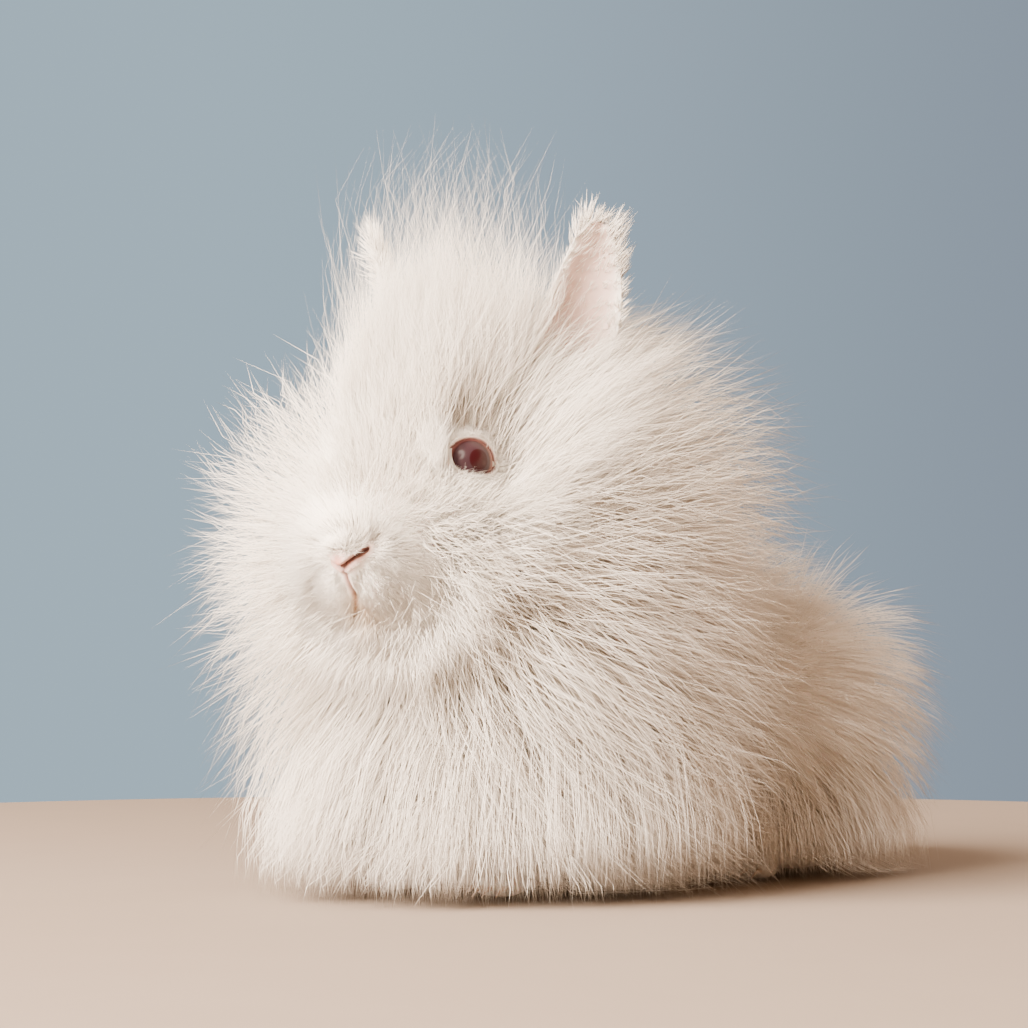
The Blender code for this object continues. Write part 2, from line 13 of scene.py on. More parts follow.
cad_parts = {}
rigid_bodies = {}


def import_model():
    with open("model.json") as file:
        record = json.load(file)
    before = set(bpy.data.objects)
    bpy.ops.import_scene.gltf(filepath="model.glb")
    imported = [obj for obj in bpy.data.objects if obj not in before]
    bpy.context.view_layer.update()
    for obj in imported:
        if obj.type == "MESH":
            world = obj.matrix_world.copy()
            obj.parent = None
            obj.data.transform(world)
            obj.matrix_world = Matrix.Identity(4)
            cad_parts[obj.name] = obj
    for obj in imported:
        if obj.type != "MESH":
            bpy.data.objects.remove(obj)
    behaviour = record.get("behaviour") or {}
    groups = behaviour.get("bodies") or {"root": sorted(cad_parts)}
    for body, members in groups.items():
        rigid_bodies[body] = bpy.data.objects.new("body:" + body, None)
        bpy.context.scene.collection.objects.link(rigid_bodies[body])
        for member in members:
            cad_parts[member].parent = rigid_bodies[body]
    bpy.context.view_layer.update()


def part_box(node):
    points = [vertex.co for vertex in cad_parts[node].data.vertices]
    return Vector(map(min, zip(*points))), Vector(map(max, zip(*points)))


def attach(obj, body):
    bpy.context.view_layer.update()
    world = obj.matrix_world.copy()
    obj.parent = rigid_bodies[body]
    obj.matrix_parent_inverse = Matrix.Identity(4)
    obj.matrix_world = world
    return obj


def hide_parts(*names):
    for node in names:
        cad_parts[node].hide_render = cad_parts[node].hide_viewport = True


bl_info = {
    "name": "Lionhead rabbit",
    "version": (1, 0, 0),
    "blender": (4, 5, 0),
    "location": "View3D > Sidebar > Rabbit",
    "description": "Skin, wool, eyes and claws of a sitting long-haired rabbit",
    "category": "Object",
}

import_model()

# Head: its own frame has -Y to the nose and +Z up, with the eyes' centres on X
EYE_LEVEL = Vector((0.0, -0.060, 0.1325))
EYE_SPREAD = 0.0175
HEAD_PITCH = math.radians(27)
HEAD_POSE = Matrix.Translation(EYE_LEVEL) @ Matrix.Rotation(HEAD_PITCH, 4, "X")
EYE_RADIUS = 0.0083
# Rows of the head from the nape to the nose: y, half width, top, belt and bottom
HEAD_ROWS = (
    (0.042, 0.010, 0.008, -0.002, -0.012),
    (0.036, 0.021, 0.014, -0.006, -0.024),
    (0.024, 0.028, 0.018, -0.013, -0.034),
    (0.008, 0.029, 0.019, -0.019, -0.039),
    (-0.006, 0.0285, 0.0165, -0.022, -0.040),
    (-0.018, 0.0265, 0.0115, -0.024, -0.043),
    (-0.028, 0.0240, 0.0055, -0.024, -0.042),
    (-0.036, 0.0205, -0.0005, -0.024, -0.041),
    (-0.041, 0.0160, -0.0060, -0.023, -0.038),
    (-0.0438, 0.0095, -0.0105, -0.021, -0.032),
)
MUZZLE = Vector((0.0, -0.0460, -0.0200))
WHISKER_PAD = (Vector((0.0062, -0.0396, -0.0235)), (0.0082, 0.0084, 0.0096))
NOSE_PAD = (Vector((0.0, -0.0438, -0.0118)), (0.0058, 0.0042, 0.0048))
CHIN = (Vector((0.0, -0.0365, -0.0345)), (0.0075, 0.0080, 0.0060))
LIP_RIDGE = (Vector((0.0, -0.0418, -0.0180)), (0.0068, 0.0052, 0.0066))
NOSE_JUNCTION = Vector((0.0, -0.0430, -0.0135))
# Lines on the front of the muzzle, seen from the front in the head's frame: X and Z
NOSTRIL_LINE = ((0.0006, -0.0137), (0.0022, -0.0128), (0.0044, -0.0117), (0.0068, -0.0103))
CLEFT_LINE = ((0.0, -0.0130), (0.0, -0.0190), (0.0, -0.0240))
LIP_LINE = ((0.0, -0.0240), (0.0022, -0.0288), (0.0055, -0.0335), (0.0105, -0.0365))

# Eyes: the way the lids open, how far, and the way that the eye and its pupil look
LID_RISE = -0.0026
LID_WAY = Vector((0.90, -0.42, 0.16))
LID_TILT = 0.10
LID_HALF_LENGTH = math.radians(68)
LID_UPPER = math.radians(48)
LID_LOWER = math.radians(33)
LID_FOLD = 0.25
# Rings of the lids from the edge outwards: share of the way to the round outer ring, radius, bare
LID_RINGS = (
    (-0.05, 0.00800, 1.0), (-0.02, 0.00848, 1.0), (0.0, 0.00885, 0.9), (0.03, 0.00915, 0.4),
    (0.08, 0.00940, 0.0), (0.18, 0.00945, 0.0), (0.26, 0.00920, 0.0), (0.36, 0.00950, 0.0),
    (0.50, 0.00975, 0.0), (0.68, 0.00950, 0.0), (0.86, 0.00880, 0.0), (1.0, 0.00800, 0.0),
)
GAZE = Vector((0.82, -0.54, 0.12))
PUPIL_WAY = Vector((0.90, -0.38, 0.10))
CORNEA_RISE = 0.0011

# Ears: a leaf rolled into a cup
EAR_BASE = Vector((0.020, -0.038, 0.142))
EAR_TIP = Vector((0.044, -0.028, 0.203))
EAR_OPENING = Vector((0.78, -0.62, 0.0))
EAR_BOW = 0.0060
EAR_HALF_WIDTH = 0.0112
EAR_CUP = 0.0080
EAR_SKIN = 0.0016
# The ear's outline as part of a half turn: where it starts and how much of it there is
EAR_ARC_START = 0.14
EAR_ARC = 0.81

# Body rows from the chest to the rump: y, half width, top, belt and bottom
TORSO_ROWS = (
    (-0.055, 0.012, 0.064, 0.048, 0.030),
    (-0.048, 0.024, 0.077, 0.046, 0.015),
    (-0.030, 0.034, 0.092, 0.048, 0.009),
    (-0.005, 0.041, 0.103, 0.050, 0.006),
    (0.030, 0.048, 0.109, 0.050, 0.005),
    (0.070, 0.053, 0.110, 0.050, 0.0045),
    (0.104, 0.053, 0.106, 0.049, 0.005),
    (0.131, 0.045, 0.092, 0.047, 0.008),
    (0.146, 0.031, 0.075, 0.045, 0.019),
    (0.153, 0.013, 0.058, 0.044, 0.032),
)
THIGH = (Vector((0.044, 0.090, 0.050)), (0.024, 0.046, 0.044))
TAIL = (Vector((0.0, 0.154, 0.042)), (0.012, 0.012, 0.015))
SHIN = (Vector((0.021, -0.040, 0.030)), (0.010, 0.011, 0.028))
HIND_FOOT = (Vector((0.043, 0.086, 0.0105)), (0.0105, 0.034, 0.0098))
FORE_FOOT = (Vector((0.020, -0.037, 0.0080)), (0.0085, 0.014, 0.0075))

# Mane: an oval of skin and an oval of tips round one centre
MANE_CENTRE = Vector((0.0, -0.020, 0.094))
MANE_CORE = Vector((0.059, 0.048, 0.060))
MANE_TIPS = Vector((0.098, 0.080, 0.084))
MANE_TIPS_BELOW = 0.120
MANE_SQUARENESS = 3.2
MANE_SLIDE = math.radians(33)
MANE_SAG = 0.008
FACE_WAY = Vector((0.0, -0.98, 0.19)).normalized()
ABOVE_FACE = Vector((0.0, 0.19, 0.98)).normalized()

CREST_TOP = 0.2365
FLOOR_ROOM = 0.0008
PATCH = 0.003
ROOT_DEPTH = 0.0006
TUFT_FLATNESS = 0.55
HALF_WIDTH = 0.094
EAR_ROOTS = 0.156
MAX_TUFT_FACES = 190000
SEED = 7
CHIN_STAIN = (0.62, 0.45, 0.26)

# Tufts of the lesser parts of the coat
BEARD_COUNT = 2000
BIB_COUNT = 4600
CREST_COUNT = 6500
SKIRT_COUNT = 3800
TAIL_COUNT = 1200
EAR_COUNT = 5000
FOOT_COUNT = 2000
BIB_REACH = 0.052
SKIRT_REACH = 0.033
# Cuts along a tuft, more of them for longer wool
STRAIGHT = (0, 1.0)
BENT = (0, 0.5, 1.0)
CURVED = (0, 0.35, 0.7, 1.0)
LONG = (0, 0.26, 0.52, 0.77, 1.0)

# Camera, measured from the photograph: its place, its way and its lens
CAMERA_PLACE = Vector((0.625, -0.842, 0.088))
CAMERA_WAY = Vector((-0.602, 0.799, 0.0272))
CAMERA_LENS = 117.0


def middle(node):
    low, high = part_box(node)
    return (low + high) / 2


# From the places above, which put the rabbit's midline on X = 0, to the frame of the solids
SHIFT = middle("eye_left") - (EYE_LEVEL + Vector((EYE_SPREAD, 0, 0)))
TO_HEAD = np.array(HEAD_POSE.inverted())
HEAD_TURN = np.array(HEAD_POSE.to_3x3())


# Settings


def length_property(name, description, default, low, high):
    return bpy.props.FloatProperty(
        name=name, description=description, default=default, min=low, max=high, unit="LENGTH",
    )


def count_property(name, description, default):
    return bpy.props.IntProperty(name=name, description=description, default=default, min=100)


def colour_property(name, description, default):
    return bpy.props.FloatVectorProperty(
        name=name, description=description, default=default, size=3, subtype="COLOR", min=0, max=1,
    )


class RabbitCoatSettings(bpy.types.PropertyGroup):
    """Lengths, widths and number of the tufts."""

    tuft_width: length_property(
        "Tuft width", "Width of a tuft of long wool near its root", 0.00036, 0.0001, 0.002
    )
    mane_count: count_property("Mane tufts", "Number of long tufts in the mane", 19500)
    under_count: count_property(
        "Underwool tufts", "Number of short curly tufts under the mane", 12000
    )
    body_count: count_property("Body tufts", "Number of tufts on the back and flanks", 12500)
    face_count: count_property("Face tufts", "Number of short tufts on the face", 38000)
    crest_length: length_property(
        "Crest length", "Length of the wool that stands between the ears", 0.076, 0.02, 0.1
    )
    back_length: length_property(
        "Back length", "Length of the coat along the back", 0.037, 0.01, 0.05
    )
    wool: colour_property("Wool", "Colour of the wool at its tips", (0.97, 0.94, 0.885))
    # Colour near the skin, darker and warmer than the tips: painted shade deep in the coat
    wool_root_shade: colour_property(
        "Wool at the root", "Colour of the wool near the skin", (0.96, 0.92, 0.86)
    )


class RabbitSkinSettings(bpy.types.PropertyGroup):
    """Skin grain and colour."""

    grain: length_property("Grain", "Size of the faces of the skin", 0.0018, 0.001, 0.004)
    pink: colour_property(
        "Bare skin", "Colour of the nose, the lids and the inside of the ears", (0.66, 0.30, 0.24)
    )


class RabbitEyeSettings(bpy.types.PropertyGroup):
    """Iris and pupil."""

    iris_radius: length_property(
        "Iris radius", "Radius of the coloured ring", 0.0056, 0.003, 0.008
    )
    pupil_radius: length_property("Pupil radius", "Radius of the pupil", 0.0030, 0.001, 0.005)
    iris: colour_property("Iris", "Colour of the iris", (0.044, 0.024, 0.032))
    pupil: colour_property(
        "Pupil", "Colour of the light that the pupil gives back", (0.026, 0.0012, 0.0022)
    )


class RabbitStageSettings(bpy.types.PropertyGroup):
    """Floor and light."""

    floor_radius: length_property("Floor radius", "Radius of the round floor", 0.50, 0.3, 2.0)
    floor: colour_property("Floor", "Colour of the floor", (0.250, 0.200, 0.160))
    key_power: bpy.props.FloatProperty(
        name="Key light", description="Power of the main light", default=225.0, min=0, unit="POWER",
    )


# Numbers in arrays


def unit(vectors):
    return vectors / np.maximum(np.linalg.norm(vectors, axis=-1, keepdims=True), 1e-9)


def blend(a, b, share):
    return a + (b - a) * share


def rise(value, low, high):
    """0 below low, 1 above high and smooth between."""
    t = np.clip((value - low) / (high - low), 0, 1)
    return t * t * (3 - 2 * t)


def to_head(points):
    return points @ TO_HEAD[:3, :3].T + TO_HEAD[:3, 3]


def head_way(ways):
    return np.asarray(ways, float) @ HEAD_TURN.T


def line_distance(points, line):
    """Distance of each flat point to a line of straight stretches."""
    best = np.full(len(points), 1e9)
    line = np.array(line, float)
    for a, b in zip(line[:-1], line[1:]):
        t = np.clip(((points - a) @ (b - a)) / ((b - a) @ (b - a)), 0, 1)
        best = np.minimum(best, np.linalg.norm(points - a - t[:, None] * (b - a), axis=1))
    return best


def bell(distance, width):
    return np.exp(-((distance / width) ** 2))


def mirrored(line, side):
    return [(side * x, z) for x, z in line]


def on_side(place, side):
    """The place itself for the left side, 1, and its mirror image for the right, -1."""
    return Vector((side * place.x, place.y, place.z))


def shell_reach(ways, radii):
    """How far the slightly squared oval reaches along each way from its centre."""
    radii = np.tile(np.array(radii), (len(ways), 1))
    radii[:, 2] = np.where(ways[:, 2] < 0, MANE_TIPS_BELOW, radii[:, 2])
    parts = np.abs(ways / radii) ** MANE_SQUARENESS
    return np.sum(parts, axis=-1, keepdims=True) ** (-1 / MANE_SQUARENESS)


# Meshes


def read(items, key, width=1, kind=float):
    """A property of every item, as rows of the given width."""
    values = np.empty(len(items) * width, kind)
    items.foreach_get(key, values)
    return values.reshape(-1, width)


def write(items, key, values, kind=np.float32):
    items.foreach_set(key, values.astype(kind).ravel())


def oval_ring(row, count, thinner, floor=0.0):
    """A ring of a body form: y, half width, top, belt and bottom, drawn in by the coat's depth."""
    y, half, top, belt, bottom = row
    ring = []
    for k in range(count):
        a = 2 * math.pi * k / count
        c, s = math.cos(a), math.sin(a)
        c = math.copysign(abs(c) ** 0.92, c)
        s = math.copysign(abs(s) ** 0.92, s)
        reach = top - belt if s > 0 else belt - bottom
        wide, tall = max(half - thinner, 0.002), max(reach - (thinner if s > 0 else floor), 0.002)
        ring.append(Vector((wide * c, y, belt + tall * s)))
    return ring


def join_rows(bm, rows, turned=False, capped=True):
    """Faces between closed rows of vertices, and over both ends where they are capped."""
    count = len(rows[0])
    for row, after in zip(rows[:-1], rows[1:]):
        for k in range(count):
            quad = (row[k], row[(k + 1) % count], after[(k + 1) % count], after[k])
            bm.faces.new(quad[::-1] if turned else quad)
    if capped:
        bm.faces.new(rows[0][::-1])
        bm.faces.new(rows[-1])


def add_loft(bm, rings):
    join_rows(bm, [[bm.verts.new(point) for point in ring] for ring in rings])


def add_ball(bm, centre, radii, turn=Matrix.Identity(4), thinner=0.0):
    scale = Matrix.Diagonal([r - thinner for r in radii] + [1.0])
    bmesh.ops.create_uvsphere(
        bm, u_segments=36, v_segments=20, radius=1.0,
        matrix=Matrix.Translation(centre) @ turn @ scale,
    )


def add_pair(bm, form, thinner=0.0, turn=Matrix.Identity(4), pose=Matrix.Identity(4)):
    centre, radii = form
    for side in (1, -1):
        add_ball(bm, pose @ on_side(centre, side), radii, turn, thinner)


def mesh_from(bm, name):
    """The forms as a mesh with smooth faces, in the frame of the solids."""
    for face in bm.faces:
        face.smooth = True
    mesh = bpy.data.meshes.new(name)
    bm.to_mesh(mesh)
    bm.free()
    mesh.transform(Matrix.Translation(SHIFT))
    return mesh


def new_piece(name, mesh, material):
    """An object in the scene that rides on the body and takes its finish from a slot."""
    obj = bpy.data.objects.new(name, mesh)
    bpy.context.collection.objects.link(obj)
    mesh.materials.append(material)
    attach(obj, "root")
    return obj


def applied(obj):
    """The object's mesh with its modifiers applied, put in place of the plain one."""
    graph = bpy.context.evaluated_depsgraph_get()
    mesh = bpy.data.meshes.new_from_object(obj.evaluated_get(graph))
    obj.modifiers.clear()
    obj.data = mesh
    return mesh


def head_forms():
    """Overlapping closed forms of the head without its coat."""
    bm = bmesh.new()
    head = []
    for row in HEAD_ROWS:
        thinner = 0.0008 + 0.0022 * min(max((row[0] + 0.040) / 0.040, 0), 1)
        head.append([HEAD_POSE @ p for p in oval_ring(row, 48, thinner, thinner)])
    add_loft(bm, head)
    turn = HEAD_POSE.to_3x3().to_4x4()
    for form in (NOSE_PAD, LIP_RIDGE, CHIN):
        add_ball(bm, HEAD_POSE @ form[0], form[1], turn, 0.0002)
    add_pair(bm, WHISKER_PAD, 0.0006, turn, HEAD_POSE)
    return bm


def body_forms():
    """Overlapping closed forms of the neck, body, legs and tail without their coat."""
    bm = bmesh.new()
    add_ball(bm, MANE_CENTRE + Vector((0, 0.006, -0.004)), MANE_CORE, thinner=0.007)
    add_loft(bm, [oval_ring(row, 36, 0.011, 0.002) for row in TORSO_ROWS])
    add_pair(bm, THIGH, 0.009)
    add_pair(bm, SHIN, 0.002)
    add_pair(bm, HIND_FOOT, 0.0015)
    add_pair(bm, FORE_FOOT, 0.0010)
    add_ball(bm, TAIL[0], TAIL[1], thinner=0.004)
    for place, size in toes(-0.0020):
        place.z = size + 0.0006
        add_ball(bm, place, (size * 0.62, size * 1.5, size))
    return bm


def toes(further):
    """The place and size of each toe, some way past the front of its foot."""
    found = []
    for side in (1, -1):
        for (centre, radii), size in ((HIND_FOOT, 0.0042), (FORE_FOOT, 0.0038)):
            for k in range(4):
                across = (k - 1.5) * 0.0040
                reach = radii[1] + further - abs(k - 1.7) * 0.0016
                found.append((Vector((side * (centre.x + across), centre.y - reach, 0.0)), size))
    return found


def fused(bm, grain, rounds):
    """The overlapping forms as one smooth closed surface with faces of the given size."""
    mesh = bpy.data.meshes.new("forms")
    bm.to_mesh(mesh)
    bm.free()
    obj = bpy.data.objects.new("forms", mesh)
    bpy.context.collection.objects.link(obj)
    remesh = obj.modifiers.new("remesh", "REMESH")
    remesh.mode = "VOXEL"
    remesh.voxel_size = grain
    smooth = obj.modifiers.new("smooth", "SMOOTH")
    smooth.factor, smooth.iterations = 0.5, rounds
    mesh = applied(obj)
    bpy.data.objects.remove(obj)
    return mesh


def ear_pose(side):
    """Columns of the matrix: across the ear, the way its cup opens, along it, and its base."""
    base = on_side(EAR_BASE, side)
    along = (on_side(EAR_TIP, side) - base).normalized()
    across = on_side(EAR_OPENING, side).cross(along).normalized()
    opening = along.cross(across)
    return Matrix.Translation(base) @ Matrix((across, opening, along)).transposed().to_4x4()


def ear_point(share, turn, inner, length):
    """A point of the ear's wall, in its own frame, turn from -1 to 1 across the cup."""
    half = EAR_HALF_WIDTH * math.sin(math.pi * (EAR_ARC_START + EAR_ARC * share)) ** 0.75
    depth = EAR_CUP * (half / EAR_HALF_WIDTH) * (1.15 - 0.45 * share)
    wall = EAR_SKIN * (1 - 0.55 * abs(turn) ** 3) if inner else 0.0
    angle = turn * math.radians(97)
    rim = 0.0016 * abs(turn) ** 6
    ripple = 0.0004 * math.sin(9 * share + 3 * turn)
    x = (half - wall + rim) * math.sin(angle)
    y = -(depth - wall + ripple) * math.cos(angle)
    return Vector((x, y, share * length))


def ear_bow(share, side):
    """How far the ear's line bows outwards, in its own frame."""
    return Vector((-side * EAR_BOW * math.sin(math.pi * share), 0, 0))


def add_ear(bm, side, mark):
    """One ear as a closed shell, with its inside marked as bare."""
    pose = ear_pose(side)
    length = (EAR_TIP - EAR_BASE).length
    rows = []
    turns = [k / 12 - 1 for k in range(25)]
    for step in range(29):
        share = step / 28 * 0.995
        ring = [(ear_point(share, turn, False, length), 0.0) for turn in turns]
        for turn in turns[::-1]:
            ring.append((ear_point(share, turn, True, length), 0.5 - 0.5 * abs(turn) ** 4))
        row = []
        for point, bare in ring:
            vertex = bm.verts.new(pose @ (point + ear_bow(share, side)))
            vertex[mark] = bare
            row.append(vertex)
        rows.append(row)
    join_rows(bm, rows)


def eye_centre(side):
    return HEAD_POSE @ Vector((side * EYE_SPREAD, 0, 0)) + Vector((0, 0, LID_RISE))


def eye_frame(side):
    """Centre of the eye and its axes: along the lids towards the back, up, and out."""
    centre = eye_centre(side)
    out = on_side(LID_WAY, side).normalized()
    up = Vector((0, LID_TILT, 1))
    up = (up - out * up.dot(out)).normalized()
    along = up.cross(out) * side
    return centre, along, up, out


def add_lids(bm, side, mark, crease_shade):
    """Both lids as one collar round an almond opening, from its edge down into the head, with
    painted shade on the rims and corners.
    """
    centre, along, up, out = eye_frame(side)
    rows = []
    for share, radius, bare in LID_RINGS:
        row = []
        for k in range(48):
            turn = 2 * math.pi * k / 48
            c, s = math.cos(turn), math.sin(turn)
            tall = LID_UPPER if s > 0 else LID_LOWER
            fold = 1 - LID_FOLD * abs(c) ** 3
            a = blend(LID_HALF_LENGTH * c, math.radians(88) * c, share)
            b = blend(tall * s * fold, math.radians(84) * s, share)
            way = math.hypot(a, b)
            flat = (along * a + up * b) / max(way, 1e-6)
            place = centre + (out * math.cos(way) + flat * math.sin(way)) * radius
            vertex = bm.verts.new(place)
            corner = abs(c) ** 12 * (share < 0.3)
            vertex[mark] = max(bare, 0.7 * corner)
            # The lid's rims and corners darken to near-black red: painted shade where the lid turns
            # in against the eye
            vertex[crease_shade] = max(0.90 * bare, 0.35 * corner)
            row.append(vertex)
        rows.append(row)
    join_rows(bm, rows, turned=side > 0, capped=False)


def carve_face(bm, mark, crease_shade):
    """Finer faces at the muzzle, with the nostrils, the cleft and the mouth pressed in and darkened
    as painted shade.
    """
    muzzle = HEAD_POSE @ MUZZLE
    close = [e for e in bm.edges if ((e.verts[0].co + e.verts[1].co) / 2 - muzzle).length < 0.018]
    bmesh.ops.subdivide_edges(bm, edges=close, cuts=1, use_grid_fill=True)
    near = [v for v in bm.verts if (v.co - muzzle).length < 0.017]
    for _ in range(3):
        bmesh.ops.smooth_vert(
            bm, verts=near, factor=0.5, use_axis_x=True, use_axis_y=True, use_axis_z=True
        )
    bm.normal_update()
    near = [v for v in bm.verts if (v.co - muzzle).length < 0.024]
    points = to_head(np.array([v.co for v in near]))
    ways = np.array([v.normal for v in near]) @ HEAD_TURN
    front = rise(-ways[:, 1], -0.85, -0.45) * (points[:, 1] < -0.034)
    flat = points[:, (0, 2)]
    # A darkening share for each point: painted shade in the nostrils, the cleft and the mouth line
    bare, push, crease_shade_share = np.zeros((3, len(near)))
    for side in (1, -1):
        d = line_distance(flat, mirrored(NOSTRIL_LINE, side))
        push += 0.00050 * bell(d - 0.0014, 0.0007) - 0.0020 * bell(d, 0.00075)
        bare = np.maximum(bare, bell(d, 0.0019))
        crease_shade_share = np.maximum(crease_shade_share, bell(d, 0.00075))
        d = line_distance(flat, mirrored(LIP_LINE, side))
        push -= 0.0012 * bell(d, 0.0007)
        bare = np.maximum(bare, 0.8 * bell(d, 0.0007))
        crease_shade_share = np.maximum(crease_shade_share, 0.5 * bell(d, 0.0005))
    d = line_distance(flat, CLEFT_LINE)
    push -= 0.0011 * bell(d, 0.00055)
    bare = np.maximum(bare, 0.9 * bell(d, 0.0011))
    crease_shade_share = np.maximum(crease_shade_share, 0.80 * bell(d, 0.0007))
    d = np.linalg.norm(flat - np.array([0.0, -0.0118]), axis=1)
    bare = np.maximum(bare, bell(d, 0.0031))
    for vertex, move, value, dark in zip(near, push * front, bare * front, crease_shade_share * front):
        vertex.co += vertex.normal * float(move)
        vertex[mark] = float(value)
        vertex[crease_shade] = float(dark)


def make_skin(settings):
    """One skin over the head, neck, body, legs, tail and ears, with lids round the eyes."""
    bm = bmesh.new()
    bm.from_mesh(fused(head_forms(), settings.grain * 0.5, 4))
    mark = bm.verts.layers.float.new("bare")
    crease_shade = bm.verts.layers.float.new("crease_shade")
    carve_face(bm, mark, crease_shade)
    bm.from_mesh(fused(body_forms(), settings.grain * 1.2, 5))
    for side in (1, -1):
        add_ear(bm, side, mark)
        add_lids(bm, side, mark, crease_shade)
    for vertex in bm.verts:
        vertex.co.z = max(vertex.co.z, FLOOR_ROOM)
    mesh = bpy.data.meshes.new("skin")
    bm.to_mesh(mesh)
    bm.free()
    obj = bpy.data.objects.new("skin", mesh)
    bpy.context.collection.objects.link(obj)
    unwrap(obj)
    mesh.transform(Matrix.Translation(SHIFT))
    mesh.materials.append(skin_material(settings))
    write(mesh.polygons, "use_smooth", np.ones(len(mesh.polygons)), bool)
    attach(obj, "root")
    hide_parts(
        "head", "neck", "torso", "tail", "ear_left", "ear_right", "foreleg_left",
        "foreleg_right", "hindleg_left", "hindleg_right",
    )
    return obj


def unwrap(obj):
    """The map that the coat's tufts take their places on."""
    for other in bpy.context.view_layer.objects:
        other.select_set(False)
    obj.select_set(True)
    bpy.context.view_layer.objects.active = obj
    obj.data.uv_layers.new(name="OFBake")
    bpy.ops.object.mode_set(mode="EDIT")
    bpy.ops.mesh.select_all(action="SELECT")
    bpy.ops.uv.smart_project(angle_limit=math.radians(75), island_margin=0.002)
    bpy.ops.object.mode_set(mode="OBJECT")
    obj.select_set(False)


# Roots and tufts


class Ground:
    """The skin's triangles, from which tufts grow, in the rabbit's own frame."""

    def __init__(self, obj):
        mesh = obj.data
        mesh.calc_loop_triangles()
        self.points = read(mesh.vertices, "co", 3) - np.array(SHIFT)
        self.normals = read(mesh.vertices, "normal", 3)
        self.faces = read(mesh.loop_triangles, "vertices", 3, int)
        corners = read(mesh.loop_triangles, "loops", 3, int)
        self.uv = read(mesh.uv_layers["OFBake"].data, "uv", 2)[corners]
        self.bares = read(mesh.attributes["bare"].data, "value")[:, 0][self.faces].mean(1)
        corners = self.points[self.faces]
        cross = np.cross(corners[:, 1] - corners[:, 0], corners[:, 2] - corners[:, 0])
        self.areas = np.linalg.norm(cross, axis=1) / 2
        self.middles = corners.mean(1)
        self.ways = self.normals[self.faces].mean(1)

    def roots(self, weight, count, draw):
        """Places drawn over the skin in proportion to a weight for each of its triangles."""
        chance = self.areas * weight
        picked = draw.choice(len(chance), size=count, p=chance / chance.sum())
        a, b = draw.random(count), draw.random(count)
        flip = a + b > 1
        a[flip], b[flip] = 1 - a[flip], 1 - b[flip]
        mix = np.stack((1 - a - b, a, b), 1)[:, :, None]
        at = (self.points[self.faces[picked]] * mix).sum(1)
        out = unit((self.normals[self.faces[picked]] * mix).sum(1))
        uv = (self.uv[picked] * mix).sum(1)
        return at, out, uv


def nearest_guides(roots, spacing, draw):
    """For each root, the root of its lock, one for each cell of the given size."""
    cells = np.floor(roots / spacing + draw.random(3)).astype(int)
    _, guides = np.unique(cells, axis=0, return_index=True)
    tree = KDTree(len(guides))
    for k, guide in enumerate(guides):
        tree.insert(roots[guide], k)
    tree.balance()
    return np.array([guides[tree.find(root)[1]] for root in roots])


def gather(tufts, spacing, pull, draw):
    """Draws the tips of neighbouring tufts together into locks."""
    guides = nearest_guides(tufts["root"], spacing, draw)
    share = (pull * (0.7 + 0.5 * draw.random(len(guides)))[guides])[:, None]
    share = np.clip(share, 0, 0.95) * tufts["tame"][:, None]
    tufts["tip"] = blend(tufts["tip"], tufts["tip"][guides], share)
    tufts["bend"] = blend(tufts["bend"], tufts["bend"][guides], share * 0.5)


def tuft_set(at, out, uv, bend, tip, width, draw, wild=0.06):
    tame = np.where(draw.random(len(at)) < wild, 0.15, 1.0)
    return {
        "root": at, "out": out, "uv": uv, "bend": bend, "tip": tip, "width": width, "tame": tame,
        "tone": draw.random(len(at)),
    }


def keep_in(points):
    points[:, 2] = np.maximum(points[:, 2], FLOOR_ROOM + 0.0006)
    points[:, 0] = np.clip(points[:, 0], -HALF_WIDTH, HALF_WIDTH)


def along_tufts(tufts, s):
    """A point of each tuft at a share of its length, before it waves."""
    return (1 - s) ** 2 * tufts["root"] + 2 * s * (1 - s) * tufts["bend"] + s**2 * tufts["tip"]


def tuft_points(tufts, steps, wave):
    """Rings of three points along each tuft's bent, waving line, and its tip."""
    root, bend, tip = tufts["root"] - tufts["out"] * ROOT_DEPTH, tufts["bend"], tufts["tip"]
    s = np.array(steps)[None, :, None]
    line = (1 - s) ** 2 * root[:, None] + 2 * s * (1 - s) * bend[:, None] + s**2 * tip[:, None]
    way = unit(2 * (1 - s) * (bend - root)[:, None] + 2 * s * (tip - bend)[:, None] + 1e-7)
    side = unit(np.cross(way, tufts["out"][:, None] + 1e-4))
    out = np.cross(side, way)
    length = np.linalg.norm(tip - root, axis=1)[:, None, None]
    phase = (tufts["tone"] * 57.0 % 1.0)[:, None, None]
    line = line + side * wave * length * s * np.sin(2 * math.pi * (1.3 * s + phase))
    line = line + out * wave * length * s * np.cos(2 * math.pi * (1.1 * s + 3 * phase)) * 0.6
    line[..., 2] = np.maximum(line[..., 2], FLOOR_ROOM)
    taper = np.array([1.0 - 0.75 * step**1.6 for step in steps[:-1]])[None, :, None, None]
    radius = 0.5 * tufts["width"][:, None, None, None] * taper
    angles = np.radians((210.0, 330.0, 90.0))
    across = np.cos(angles)[:, None] * side[:, :-1, None]
    ring = across + TUFT_FLATNESS * np.sin(angles)[:, None] * out[:, :-1, None]
    rings = line[:, :-1, None] + radius * ring
    return np.concatenate((rings.reshape(len(root), -1, 3), line[:, -1:]), 1)


def tuft_faces(rings):
    """The faces of one closed tuft: a base, sides between its rings, and its point."""
    faces = [(2, 1, 0)]
    for r in range(rings - 1):
        for k in range(3):
            a, b = r * 3 + k, r * 3 + (k + 1) % 3
            faces.append((a, b, b + 3, a + 3))
    last = (rings - 1) * 3
    return faces + [(last + k, last + (k + 1) % 3, rings * 3) for k in range(3)]


